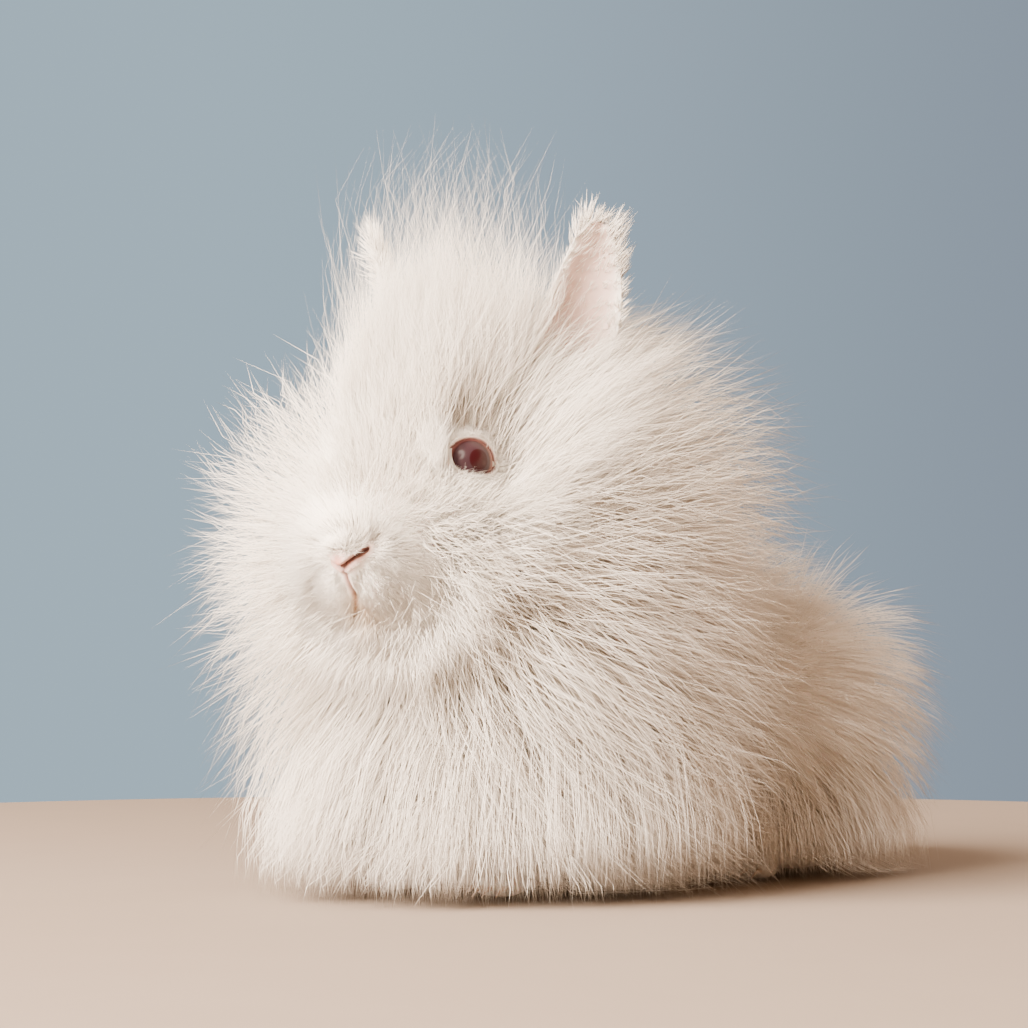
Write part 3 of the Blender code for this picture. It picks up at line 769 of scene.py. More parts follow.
def tuft_mesh(name, tufts, steps, wave, material):
    """Closed, tapered blades of three sides along bent lines, as one mesh."""
    points = tuft_points(tufts, steps, wave)
    count, per = points.shape[:2]
    faces = tuft_faces(len(steps) - 1)
    sizes = [len(face) for face in faces]
    pattern = np.array([corner for face in faces for corner in face])
    first = np.arange(count)[:, None]
    mesh = bpy.data.meshes.new(name)
    mesh.vertices.add(count * per)
    write(mesh.vertices, "co", points + np.array(SHIFT))
    mesh.loops.add(count * len(pattern))
    write(mesh.loops, "vertex_index", first * per + pattern, np.int32)
    mesh.polygons.add(count * len(faces))
    starts = np.concatenate(([0], np.cumsum(sizes)[:-1]))
    write(mesh.polygons, "loop_start", first * len(pattern) + starts, np.int32)
    write(mesh.polygons, "loop_total", np.tile(sizes, count), np.int32)
    write(mesh.polygons, "use_smooth", np.ones(count * len(faces)), bool)
    share = np.concatenate((np.repeat(steps[:-1], 3), [1.0]))
    across = np.concatenate((np.tile([-0.5, 0.0, 0.5], len(steps) - 1), [0.0]))
    patch = np.stack((across, share - 0.5), 1) * PATCH
    write(mesh.uv_layers.new(name="OFBake").data, "uv", tufts["uv"][:, None] + patch[pattern])
    for key, values in (("along", np.tile(share, count)), ("tone", np.repeat(tufts["tone"], per))):
        write(mesh.attributes.new(key, "FLOAT", "POINT").data, "value", values)
    mesh.update(calc_edges=True)
    return new_piece(name, mesh, material)


def tuft_pieces(name, tufts, steps, wave, material):
    """The tufts as pieces that each stay under the limit of faces."""
    each = 6 * (len(steps) - 2) + 4
    count = len(tufts["root"])
    parts = math.ceil(count * each / MAX_TUFT_FACES)
    ranks = np.argsort(tufts.get("clock", tufts["root"][:, 0]), kind="stable")
    for k, chosen in enumerate(np.array_split(ranks, parts)):
        part = {key: value[chosen] for key, value in tufts.items()}
        tuft_mesh(f"{name}_{k + 1}" if parts > 1 else name, part, steps, wave, material)


def grow(name, tufts, locks, steps, wave, settings, draw, clear=dict):
    """Draws the tufts into locks, each a size and a pull, clears them and makes their pieces."""
    for spacing, pull in locks:
        gather(tufts, spacing, pull, draw)
    tuft_pieces(name, clear(tufts), steps, wave, coat_material(settings))


def lie(at, out, way, length, lift, droop, draw, jitter=0.18):
    """Bend and tip of tufts that lie along a way, lifted off the skin, and droop."""
    way = way + draw.normal(0, jitter, way.shape)
    flat = unit(way - out * np.sum(way * out, 1, keepdims=True))
    lift = lift[:, None] if np.ndim(lift) else lift
    length = length[:, None]
    first = unit(flat * np.cos(lift * 1.35) + out * np.sin(lift * 1.35))
    last = unit(flat * np.cos(lift * 0.75) + out * np.sin(lift * 0.75))
    bend = at + first * length * 0.5
    tip = bend + last * length * 0.5
    tip[:, 2] -= (droop * length[:, 0]) if np.ndim(droop) else droop * length[:, 0]
    return bend, tip


def face_spread(points):
    """Seen from the mane's centre, the angle from the face's way and the clock round it."""
    way = unit(points - np.array(MANE_CENTRE))
    spread = np.arccos(np.clip(way @ np.array(FACE_WAY), -1, 1))
    return spread, np.arctan2(way[:, 0], way @ np.array(ABOVE_FACE))


def nose_distance(head):
    return np.linalg.norm(head - np.array(MUZZLE), axis=1)


def eye_distance(head):
    """Distance in the head's frame to the nearer eyeball."""
    centres = np.array([[side * EYE_SPREAD, 0, 0] for side in (1, -1)])
    return np.min([np.linalg.norm(head - c, axis=1) for c in centres], 0) - EYE_RADIUS


def ruff_share(points):
    """0 at the nose and the eyes, 1 where the long wool begins."""
    head = to_head(points)
    behind = np.maximum(rise(head[:, 1], -0.004, 0.010), rise(head[:, 2], 0.003, 0.010))
    from_eye = eye_distance(head) / (0.026 - 0.016 * behind)
    return rise(nose_distance(head), 0.009, 0.031) * rise(from_eye, 0.06, 0.9)


def clear_of_eyes(tufts, room=1.0):
    """Only the tufts that don't cross either eye."""
    keep = np.ones(len(tufts["root"]), bool)
    for side in (1, -1):
        centre, along, up, out = (np.array(v) for v in eye_frame(side))
        for s in np.linspace(0.1, 1.0, 10):
            at = along_tufts(tufts, s) - centre
            a, b, c = at @ along, at @ up, at @ out
            above = np.maximum(c - EYE_RADIUS, 0)
            wide = 0.0082 * room * (1 + np.where(a < 0, 70, 12) * above)
            tall = np.where(b > 0, 0.0064, 0.0040) * room * (1 + 25 * above)
            inside = (a / wide) ** 2 + (b / tall) ** 2 < 1
            keep &= ~(inside & (c > 0.002) & (c < 0.050))
    return {key: value[keep] for key, value in tufts.items()}


def crest_share(points):
    """1 on the brow and the crown between the ears, 0 elsewhere."""
    head = to_head(points)
    share = rise(head[:, 2], 0.002, 0.011) * (1 - rise(np.abs(head[:, 0]), 0.018, 0.027))
    return share * (1 - rise(head[:, 1], 0.026, 0.038)) * (points[:, 2] < 0.157)


def off_ear(points):
    return (points[:, 2] < EAR_ROOTS).astype(float)


def shell_place(spread, clock, reach):
    """A place on the oval of tips at a spread and clock round the face."""
    round_face = np.cos(clock)[:, None] * np.array(ABOVE_FACE)
    round_face[:, 0] += np.sin(clock)
    way = np.cos(spread)[:, None] * np.array(FACE_WAY) + np.sin(spread)[:, None] * round_face
    return way * shell_reach(way, MANE_TIPS) * reach[:, None] + np.array(MANE_CENTRE)


def mane_tufts(ground, count, width, reaches, loose, draw):
    """Wool that spreads from the ruff round the face, out to shares of the oval of tips."""
    middles = ground.middles
    weight = rise(ruff_share(middles), 0.02, 0.3) * (1 - 0.9 * crest_share(middles))
    weight = weight * (1 - rise(middles[:, 1], 0.020, 0.052)) * off_ear(middles)
    weight = weight * rise(middles[:, 2], 0.024, 0.040) * (1 - ground.bares)
    spread, _ = face_spread(middles)
    weight = weight * (1 + 1.6 * (1 - rise(spread, 0.6, 1.1)))
    at, out, uv = ground.roots(weight, count, draw)
    spread, clock = face_spread(at)
    share = ruff_share(at)
    slide = math.radians(9) + (MANE_SLIDE - math.radians(9)) * rise(spread, 0.30, 0.95)
    slide = slide * draw.uniform(0.65, 1.2, count)
    high = rise(np.cos(clock), -0.2, 0.7)
    reach = draw.uniform(*reaches, count) ** 0.4 * (1 + 0.05 * high)
    reach = reach * (0.94 + 0.06 * rise(spread, 0.3, 0.8))
    clock = clock + draw.normal(0, 0.06, count)
    points = []
    for step in (0.5, 1.0):
        shell = shell_place(spread + slide * step, clock, reach)
        point = blend(at, shell, step**0.85)
        point[:, 2] -= MANE_SAG * step**2 * draw.uniform(0.6, 1.5, count) * (1 - 1.3 * high)
        points.append(point)
    middle_point, tip = points
    short = 0.003 + 0.008 * share
    low_bend, low_tip = lie(at, out, face_way(at), short, math.radians(30), 0.05, draw, 0.14)
    length = (share**1.1)[:, None]
    bend = blend(low_bend, 2 * middle_point - 0.5 * (at + tip), length)
    tip = blend(low_tip, tip, length)
    bend += draw.normal(0, loose * 0.5, bend.shape) * length
    tip += draw.normal(0, loose, tip.shape) * length
    keep_in(tip)
    keep_in(bend)
    widths = width * draw.uniform(0.7, 1.2, count) * (0.75 + 0.25 * share)
    return {**tuft_set(at, out, uv, bend, tip, widths, draw), "clock": clock}


def face_way(at):
    """The way that short fur lies on the face: from the nose outwards, and down below it."""
    head = to_head(at)
    way = unit(head - np.array(NOSE_JUNCTION))
    lip = 1 - rise(head[:, 2], -0.018, -0.014)
    way[:, 0] += 0.6 * np.tanh(head[:, 0] / 0.0006) * lip
    way = head_way(way)
    way[:, 2] -= 0.25 * (1 - rise(head[:, 2], -0.02, 0.0))
    for side in (1, -1):
        centre, along, up, eye_out = (np.array(v) for v in eye_frame(side))
        away = at - centre
        away = away - eye_out * (away @ eye_out)[:, None]
        reach = np.linalg.norm(away / np.array([1.3, 1.3, 1.0]), axis=1)
        near = (1 - rise(reach, 0.0075, 0.0130)) * (np.sign(at[:, 0]) == side)
        way = blend(way, unit(away), 0.92 * near[:, None])
    return way


def crest_tufts(ground, count, settings, draw):
    """Wool that stands up over the brow and between the ears, with a few long wisps."""
    middles = ground.middles
    weight = crest_share(middles) * (1 - ground.bares)
    weight = weight * rise(eye_distance(to_head(middles)), 0, 0.004)
    at, out, uv = ground.roots(weight, count, draw)
    head = to_head(at)
    across = head[:, 0] / 0.022 + draw.normal(0, 0.20, count)
    back = (at[:, 1] + 0.056) / 0.026
    brow = rise(head[:, 1], -0.030, 0.006)
    wisp = draw.random(count) < 0.11 * brow
    near_ear = rise(across, 0.45, 0.90)
    lean = np.where(across > 0, 0.17 + 0.26 * near_ear, 0.11)
    lean = np.where(wisp, 0.04, lean) * across
    way = np.stack((lean, -0.02 + 0.22 * back, np.ones(count)), 1)
    way = unit(way + draw.normal(0, 0.10, way.shape))
    length = settings.crest_length * draw.uniform(0.36, 0.66, count)
    length = np.where(wisp, settings.crest_length * draw.uniform(0.85, 1.30, count), length)
    length = length * (0.24 + 0.76 * brow)
    first = way + np.stack((0.16 * across, np.full(count, -0.22), np.zeros(count)), 1)
    bend = at + unit(first + out * 0.35) * (length * 0.5)[:, None]
    tip = at + way * length[:, None]
    tip += draw.normal(0, 0.004, tip.shape)
    tip[:, 2] = np.minimum(tip[:, 2], CREST_TOP)
    widths = settings.tuft_width * draw.uniform(0.6, 1.0, count) * np.where(wisp, 0.36, 0.85)
    return tuft_set(at, out, uv, bend, tip, widths, draw, 0.15)


def face_tufts(ground, count, draw):
    """Short velvet from the nose backwards and round the eyes."""
    middles = ground.middles
    head = to_head(middles)
    weight = (1 - rise(ruff_share(middles), 0.10, 0.60)) * off_ear(middles)
    weight = weight * (middles[:, 2] > 0.072) * (head[:, 1] < 0.016)
    weight = weight * (0.7 + 1.6 * (1 - rise(nose_distance(head), 0.012, 0.026)))
    weight = weight * (1 + 2.0 * (1 - rise(eye_distance(head), 0.004, 0.013)))
    at, out, uv = ground.roots(weight * (1 - rise(ground.bares, 0.15, 0.6)), count, draw)
    head = to_head(at)
    from_nose, from_eye = nose_distance(head), eye_distance(head)
    length = 0.0026 + 0.0150 * rise(from_nose, 0.0075, 0.0190)
    length = np.minimum(length, 0.0028 + 1.9 * np.maximum(from_eye, 0))
    length = length * draw.uniform(0.65, 1.15, count)
    lift = np.radians(24 + 26 * rise(from_nose, 0.0075, 0.0170))
    bend, tip = lie(at, out, face_way(at), length, lift, 0.06, draw, 0.22)
    widths = 0.00022 + 0.00010 * rise(length, 0.002, 0.010)
    return tuft_set(at, out, uv, bend, tip, widths * draw.uniform(0.8, 1.2, count), draw)


def clear_of_nose(tufts):
    """Only the tufts that don't cross the nostrils or the cleft of the lip."""
    keep = np.ones(len(tufts["root"]), bool)
    for s in np.linspace(0, 1, 9):
        head = to_head(along_tufts(tufts, s))
        flat = head[:, (0, 2)]
        close = line_distance(flat, CLEFT_LINE) < 0.0005
        for side in (1, -1):
            close |= line_distance(flat, mirrored(NOSTRIL_LINE, side)) < 0.0012
        keep &= ~(close & (head[:, 1] < -0.036))
    return {key: value[keep] for key, value in tufts.items()}


def uv_near(ground, points):
    """The skin's map at the triangle nearest to each point."""
    near = [np.argmin(((ground.middles - point) ** 2).sum(1)) for point in points]
    return ground.uv[near].mean(1)


def lash_tufts(ground, draw):
    """White lashes that stand up over the lower lid, and fewer along the upper one."""
    rows = []
    for side in (1, -1):
        centre, along, up, out = (np.array(v) for v in eye_frame(side))
        for lid, count, length in ((-1, 320, 0.0026), (1, 140, 0.0022)):
            turn = draw.uniform(0.06, 0.94, count) * math.pi
            tall = LID_LOWER if lid < 0 else LID_UPPER
            a = LID_HALF_LENGTH * np.cos(turn) * 1.04
            b = lid * tall * np.sin(turn) * (1 - LID_FOLD * np.abs(np.cos(turn)) ** 3) * 1.22
            way = np.hypot(a, b)
            flat = (along * a[:, None] + up * b[:, None]) / way[:, None]
            normal = out * np.cos(way)[:, None] + flat * np.sin(way)[:, None]
            root = centre + normal * 0.0093
            lean = out * 0.9 - lid * up * 0.5 + draw.normal(0, 0.22, (count, 3))
            size = (length * draw.uniform(0.5, 1.1, count))[:, None]
            tip = root + unit(lean) * size
            bend = root + (unit(lean) * 0.35 + normal * 0.25) * size
            rows.append((root, normal, bend, tip))
    at, out, bend, tip = (np.concatenate(parts) for parts in zip(*rows))
    widths = 0.00024 * draw.uniform(0.8, 1.2, len(at))
    return tuft_set(at, out, uv_near(ground, at), bend, tip, widths, draw)


def whisker_tufts(ground, draw):
    """Fine whiskers from the sides of the upper lip."""
    rows = []
    for side in (1, -1):
        for k in range(11):
            row, column = k % 3, k // 3
            place = Vector((side * 0.0135, -0.0415 + 0.0022 * column, -0.0195 - 0.0022 * row))
            way = HEAD_POSE.to_3x3() @ Vector((side, -0.25 + 0.22 * column, 0.10 - 0.16 * row))
            way = np.array(way.normalized()) + draw.normal(0, 0.06, 3)
            root = np.array(HEAD_POSE @ place)
            size = draw.uniform(0.030, 0.046)
            bend = root + way * size * 0.5
            rows.append((root, way, bend, bend + (way + np.array((0, 0.25, -0.30))) * size * 0.5))
    at, out, bend, tip = (np.array(part) for part in zip(*rows))
    keep_in(tip)
    return tuft_set(at, out, uv_near(ground, at), bend, tip, np.full(len(at), 0.00017), draw)


def beard_tufts(ground, count, width, draw):
    """Wool that hangs from the chin and throat over the chest."""
    head = to_head(ground.middles)
    weight = (head[:, 2] < -0.026) * (head[:, 1] < 0.0) * (head[:, 1] > -0.034)
    weight = weight * (ground.middles[:, 2] > 0.060) * (1 - ground.bares)
    at, out, uv = ground.roots(weight.astype(float), count, draw)
    way = np.stack((at[:, 0] * 14, np.full(count, -0.30), np.full(count, -1.0)), 1)
    length = draw.uniform(0.020, 0.040, count)
    bend, tip = lie(at, out, way, length, 0.6, 0.10, draw)
    return tuft_set(at, out, uv, bend, tip, width * draw.uniform(0.6, 1.0, count), draw)


def hanging_tufts(ground, weight, count, width, reach, draw):
    """Wool that hangs from low on the body to the floor, standing off it by a reach."""
    at, out, uv = ground.roots(weight, count, draw)
    flat = unit(out * np.array([1, 1, 0.0]) + 1e-6)
    fall = at[:, 2] * draw.uniform(0.88, 1.15, count)
    reach = reach * draw.uniform(0.35, 1.15, count) * (1 - 0.45 * np.abs(flat[:, 0]))
    reach = reach * (1 - 0.62 * rise(flat[:, 1], 0.30, 0.90))
    bend = at + flat * reach[:, None] * 1.25
    bend[:, 2] -= fall * 0.30
    tip = at + flat * reach[:, None] * 1.1
    tip[:, 2] = at[:, 2] - fall
    tip[:, :2] += draw.normal(0, 0.003, (count, 2))
    keep_in(tip)
    return tuft_set(at, out, uv, bend, tip, width * draw.uniform(0.7, 1.1, count), draw)


def bib_weight(ground):
    """The chest and forelegs, in front of the feet."""
    middles = ground.middles
    weight = rise(-middles[:, 1], -0.010, 0.010) * rise(middles[:, 2], 0.012, 0.026)
    return weight * (1 - rise(middles[:, 2], 0.062, 0.080)) * (ground.ways[:, 1] < 0.4)


def skirt_weight(ground):
    """The flanks and thighs above the hind feet."""
    middles = ground.middles
    weight = rise(middles[:, 1], -0.015, 0.005) * rise(middles[:, 2], 0.014, 0.024)
    weight = weight * (1 - rise(middles[:, 2], 0.036, 0.050)) * (ground.ways[:, 2] < 0.5)
    weight = weight * (1 + 1.5 * (1 - rise(middles[:, 1], 0.035, 0.065)))
    return weight * (np.abs(middles[:, 0]) + 0.5 * middles[:, 1] > 0.026)


def body_tufts(ground, count, settings, draw):
    """The back, flanks and rump, lying backwards, with a skirt down to the floor."""
    middles = ground.middles
    weight = rise(middles[:, 1], -0.010, 0.020) * (middles[:, 2] > 0.012)
    weight = weight * (ground.ways[:, 2] > -0.75) * off_ear(middles)
    at, out, uv = ground.roots(weight, count, draw)
    rear = rise(at[:, 1], 0.085, 0.140)
    low = 1 - rise(at[:, 2], 0.020, 0.060)
    side = np.abs(out[:, 0])
    down = -0.10 - 0.45 * side - 0.9 * rear - 0.9 * low
    way = np.stack((0.15 * np.sign(at[:, 0]) * (1 - rear), 1.0 - 0.55 * rear - 0.5 * low, down), 1)
    length = settings.back_length * draw.uniform(0.6, 1.15, count) * (1 - 0.35 * rear)
    length = np.maximum(length, 1.1 * at[:, 2] * low * draw.uniform(0.7, 1.0, count))
    lift = np.radians(40 + 2 * rear - 18 * low)
    bend, tip = lie(at, out, way, length, lift, 0.05 + 0.10 * side, draw)
    keep_in(tip)
    keep_in(bend)
    widths = settings.tuft_width * draw.uniform(0.6, 1.0, count)
    return tuft_set(at, out, uv, bend, tip, widths, draw)


def tail_tufts(ground, count, width, draw):
    middles = ground.middles
    d = np.linalg.norm((middles - np.array(TAIL[0])) / np.array(TAIL[1]), axis=1)
    weight = (d < 1.25) * (middles[:, 1] > 0.145) * 1.0
    at, out, uv = ground.roots(weight, count, draw)
    way = unit(at - np.array(TAIL[0])) + np.array([0, 0.6, 0.3])
    length = draw.uniform(0.010, 0.019, count)
    bend, tip = lie(at, out, way, length, math.radians(50), 0.08, draw)
    keep_in(tip)
    return tuft_set(at, out, uv, bend, tip, width * draw.uniform(0.6, 0.9, count), draw)


def ear_places(points):
    """Share of the ear's length, nearness to its rim, its axis and the way out to its rim."""
    share, rim = np.zeros((2, len(points)))
    axis, outward = np.zeros((2, len(points), 3))
    for side in (1, -1):
        pose = ear_pose(side)
        turn = np.array(pose.to_3x3())
        local = (points - np.array(pose.translation)) @ turn
        mine = np.sign(points[:, 0]) == side
        along = np.clip(local[:, 2] / (EAR_TIP - EAR_BASE).length, 0, 1)
        share[mine] = along[mine]
        half = EAR_HALF_WIDTH * np.sin(np.pi * (EAR_ARC_START + EAR_ARC * along))
        rim[mine] = (np.abs(local[:, 0]) / half)[mine]
        axis[mine] = turn[:, 2]
        outward[mine] = (np.sign(local[:, 0])[:, None] * turn[:, 0])[mine]
    return share, rim, axis, outward


def ear_tufts(ground, count, draw):
    """Short fur on the ears, a fringe at the rim and longer tufts at the tips."""
    high = ground.middles[:, 2]
    on_ear = (high > 0.157) | (ground.bares > 0.02) & (high > 0.150)
    share = ear_places(ground.middles)[0]
    weight = on_ear * (1 - 0.75 * rise(ground.bares, 0.1, 0.5)) * (1 + 0.8 * rise(share, 0.6, 1.0))
    at, out, uv = ground.roots(weight, count, draw)
    share, rim, axis, outward = ear_places(at)
    edge = rise(rim, 0.70, 1.0)
    top = rise(share, 0.72, 0.98)
    length = (0.0038 + 0.0015 * edge + 0.004 * top) * draw.uniform(0.6, 1.3, count)
    way = axis + outward * (0.30 * edge)[:, None]
    lift = np.radians(22 + 12 * edge)
    bend, tip = lie(at, out, way, length, lift, 0.03, draw)
    widths = 0.00034 * draw.uniform(0.8, 1.3, count)
    return tuft_set(at, out, uv, bend, tip, widths, draw, 0.10)


def foot_tufts(ground, count, draw):
    middles = ground.middles
    low = middles[:, 2] < 0.030
    fore = low & (middles[:, 1] < -0.022) & (middles[:, 1] > -0.072)
    hind = low & (np.abs(middles[:, 0]) > 0.034) & (middles[:, 1] > 0.015)
    weight = (fore | hind) * (middles[:, 2] > 0.002) * (ground.ways[:, 2] > -0.5)
    at, out, uv = ground.roots(weight.astype(float), count, draw)
    way = np.tile(np.array([0.0, -1.0, -0.35]), (count, 1))
    length = draw.uniform(0.003, 0.006, count)
    bend, tip = lie(at, out, way, length, math.radians(20), 0.05, draw)
    keep_in(tip)
    return tuft_set(at, out, uv, bend, tip, 0.00045 * draw.uniform(0.8, 1.2, count), draw)


# Materials


def nodes_of(name):
    material = bpy.data.materials.new(name)
    material.use_nodes = True
    tree = material.node_tree
    return material, tree, tree.nodes["Principled BSDF"]


def node(tree, kind, **values):
    new = tree.nodes.new(kind)
    for key, value in values.items():
        setattr(new, key, value)
    return new


def put(new, values):
    """Sets constants on a node's own sockets, by name or number."""
    for key, value in values.items():
        new.inputs[key].default_value = value


def attribute(tree, name):
    return node(tree, "ShaderNodeAttribute", attribute_name=name).outputs["Fac"]


def colour_mix(tree, share, a, b):
    """A mix of two colours or colour outputs by a share from 0 to 1."""
    mix = tree.nodes.new("ShaderNodeMix")
    mix.data_type = "RGBA"
    tree.links.new(share, mix.inputs["Factor"])
    for value, socket in ((a, mix.inputs[6]), (b, mix.inputs[7])):
        if isinstance(value, bpy.types.NodeSocket):
            tree.links.new(value, socket)
        else:
            socket.default_value = (*value, 1.0)
    return mix.outputs[2]


def noise(tree, scale, detail=4.0):
    place = tree.nodes.new("ShaderNodeTexCoord").outputs["Object"]
    new = node(tree, "ShaderNodeTexNoise")
    put(new, {"Scale": scale, "Detail": detail})
    tree.links.new(place, new.inputs["Vector"])
    return new.outputs["Fac"]


def spot(tree, centre, radius):
    """1 at a place in the rabbit's frame, falling to 0 at a radius."""
    place = tree.nodes.new("ShaderNodeTexCoord").outputs["Object"]
    near = node(tree, "ShaderNodeVectorMath", operation="DISTANCE")
    tree.links.new(place, near.inputs[0])
    put(near, {1: centre})
    fall = node(tree, "ShaderNodeMapRange", interpolation_type="SMOOTHSTEP")
    tree.links.new(near.outputs["Value"], fall.inputs[0])
    put(fall, {1: 0.0, 2: radius, 3: 1.0, 4: 0.0})
    return fall.outputs[0]


def scaled(tree, value, factor):
    times = node(tree, "ShaderNodeMath", operation="MULTIPLY")
    tree.links.new(value, times.inputs[0])
    put(times, {1: factor})
    return times.outputs[0]


def markings(tree, colour):
    """The faint yellow at the mouth, the same on skin and coat."""
    chin = HEAD_POSE @ Vector((0.0, -0.040, -0.031)) + SHIFT
    stain = scaled(tree, spot(tree, chin, 0.014), 0.75)
    return colour_mix(tree, stain, colour, CHIN_STAIN)


def coat_material(settings):
    """The wool's one material, warmer and darker at the root as painted shade, with a tone for each
    tuft.
    """
    if "white wool" in bpy.data.materials:
        return bpy.data.materials["white wool"]
    material, tree, shader = nodes_of("white wool")
    along = attribute(tree, "along")
    tone = attribute(tree, "tone")
    # Darker and warmer towards the root: painted shade deep in the coat
    base = colour_mix(tree, along, tuple(settings.wool_root_shade), tuple(settings.wool))
    cool = tuple(c * f for c, f in zip(settings.wool, (0.94, 0.93, 0.93)))
    base = colour_mix(tree, scaled(tree, tone, 0.6), base, cool)
    warm = tuple(c * f for c, f in zip(settings.wool, (0.99, 0.95, 0.89)))
    base = colour_mix(tree, scaled(tree, noise(tree, 42.0), 0.55), base, warm)
    tree.links.new(markings(tree, base), shader.inputs["Base Color"])
    put(shader, {
        "Roughness": 0.75, "Specular IOR Level": 0.18, "Sheen Weight": 0.30,
        "Sheen Roughness": 0.45,
    })
    return material


def skin_material(settings):
    material, tree, shader = nodes_of("rabbit skin")
    bare = attribute(tree, "bare")
    white = (0.93, 0.89, 0.84)
    fuzz = colour_mix(tree, noise(tree, 260.0), white, tuple(c * 0.86 for c in white))
    pink = colour_mix(
        tree, noise(tree, 420.0), tuple(settings.pink), tuple(c * 0.72 for c in settings.pink)
    )
    crease_shade = attribute(tree, "crease_shade")
    # Painted shade: the nostrils, the cleft, the mouth line and the lids' rims darken to near-black
    # red
    pink = colour_mix(tree, crease_shade, pink, (0.085, 0.015, 0.018))
    colour = markings(tree, colour_mix(tree, bare, fuzz, pink))
    tree.links.new(colour, shader.inputs["Base Color"])
    rough = node(tree, "ShaderNodeMapRange")
    tree.links.new(bare, rough.inputs[0])
    put(rough, {3: 0.85, 4: 0.42})
    tree.links.new(rough.outputs[0], shader.inputs["Roughness"])
    bump = node(tree, "ShaderNodeBump")
    put(bump, {"Strength": 0.35, "Distance": 0.0006})
    tree.links.new(noise(tree, 900.0, 6.0), bump.inputs["Height"])
    tree.links.new(bump.outputs[0], shader.inputs["Normal"])
    put(shader, {
        "Subsurface Weight": 0.15, "Subsurface Radius": (0.004, 0.0016, 0.0010),
        "Subsurface Scale": 1.0,
    })
    return material


def ramp(tree, value, stops):
    new = tree.nodes.new("ShaderNodeValToRGB")
    tree.links.new(value, new.inputs[0])
    elements = new.color_ramp.elements
    elements[0].position, elements[0].color = stops[0][0], (*stops[0][1], 1)
    elements[1].position, elements[1].color = stops[-1][0], (*stops[-1][1], 1)
    for position, colour in stops[1:-1]:
        elements.new(position).color = (*colour, 1)
    return new.outputs[0]


def eye_material(settings):
    material, tree, shader = nodes_of("ruby eye")
    polar = attribute(tree, "polar")
    iris = math.asin(settings.iris_radius / EYE_RADIUS) / math.pi
    pupil = math.asin(settings.pupil_radius / EYE_RADIUS) / math.pi
    colour, dark = tuple(settings.iris), tuple(settings.pupil)
    stops = (
        (0.0, tuple(c * 0.8 for c in colour)), (iris * 0.6, tuple(c * 1.25 for c in colour)),
        (iris * 0.92, colour),
        (iris * 1.0, (0.030, 0.004, 0.006)), (iris * 1.12, (0.15, 0.055, 0.050)),
        (iris * 1.5, (0.40, 0.20, 0.16)),
    )
    rays = attribute(tree, "turn")
    streak = node(tree, "ShaderNodeTexNoise", noise_dimensions="2D")
    put(streak, {"Scale": 1.0, "Detail": 3.0})
    both = tree.nodes.new("ShaderNodeCombineXYZ")
    tree.links.new(scaled(tree, rays, 90.0), both.inputs[0])
    tree.links.new(scaled(tree, polar, 14.0), both.inputs[1])
    tree.links.new(both.outputs[0], streak.inputs["Vector"])
    rings = ramp(tree, polar, stops)
    hole = attribute(tree, "hole")
    past_pupil = ramp(tree, hole, ((pupil * 0.90, (0, 0, 0)), (pupil * 1.02, (1, 1, 1))))
    rings = colour_mix(tree, past_pupil, dark, rings)
    shade = colour_mix(tree, scaled(tree, streak.outputs["Fac"], 0.45), rings, (0.05, 0.015, 0.02))
    tree.links.new(shade, shader.inputs["Base Color"])
    put(shader, {
        "Roughness": 0.35, "Specular IOR Level": 0.10, "Coat Weight": 0.22,
        "Coat Roughness": 0.02, "Coat IOR": 1.38,
    })
    return material


def claw_material():
    material, tree, shader = nodes_of("horn")
    colour = colour_mix(tree, noise(tree, 700.0), (0.78, 0.62, 0.50), (0.60, 0.44, 0.34))
    tree.links.new(colour, shader.inputs["Base Color"])
    put(shader, {"Roughness": 0.35})
    return material


def floor_material(settings):
    material, tree, shader = nodes_of("pale floor")
    base = tuple(settings.floor)
    colour = colour_mix(tree, noise(tree, 30.0), base, tuple(c * 0.94 for c in base))
    tree.links.new(colour, shader.inputs["Base Color"])
    put(shader, {"Roughness": 0.8})
    return material


def studio_world():
    """A pale blue backdrop, darker towards the right as painted shade, whose light on the rabbit is
    a soft warm white.
    """
    world = bpy.data.worlds.new("studio")
    world.use_nodes = True
    tree = world.node_tree
    light = tree.nodes["Background"]
    put(light, {"Color": (1.0, 0.59, 0.33, 1), "Strength": 0.66})
    seen = node(tree, "ShaderNodeBackground")
    # What the camera sees of the backdrop darkens towards its right: painted shade across the wall
    across = node(tree, "ShaderNodeVectorMath", operation="DOT_PRODUCT")
    tree.links.new(tree.nodes.new("ShaderNodeTexCoord").outputs["Generated"], across.inputs[0])
    put(across, {1: (0.799, 0.602, 0.0)})
    share = node(tree, "ShaderNodeMapRange", interpolation_type="SMOOTHSTEP")
    tree.links.new(across.outputs["Value"], share.inputs[0])
    put(share, {1: -0.10, 2: 0.20})
    backdrop_with_painted_shade = colour_mix(tree, share.outputs[0], (0.42, 0.56, 0.67), (0.27, 0.33, 0.41))
    tree.links.new(backdrop_with_painted_shade, seen.inputs["Color"])
    mix = node(tree, "ShaderNodeMixShader")
    path = node(tree, "ShaderNodeLightPath")
    tree.links.new(path.outputs["Is Camera Ray"], mix.inputs[0])
    tree.links.new(light.outputs[0], mix.inputs[1])
    tree.links.new(seen.outputs[0], mix.inputs[2])
    tree.links.new(mix.outputs[0], tree.nodes["World Output"].inputs[0])
    return world


# Eyes and claws


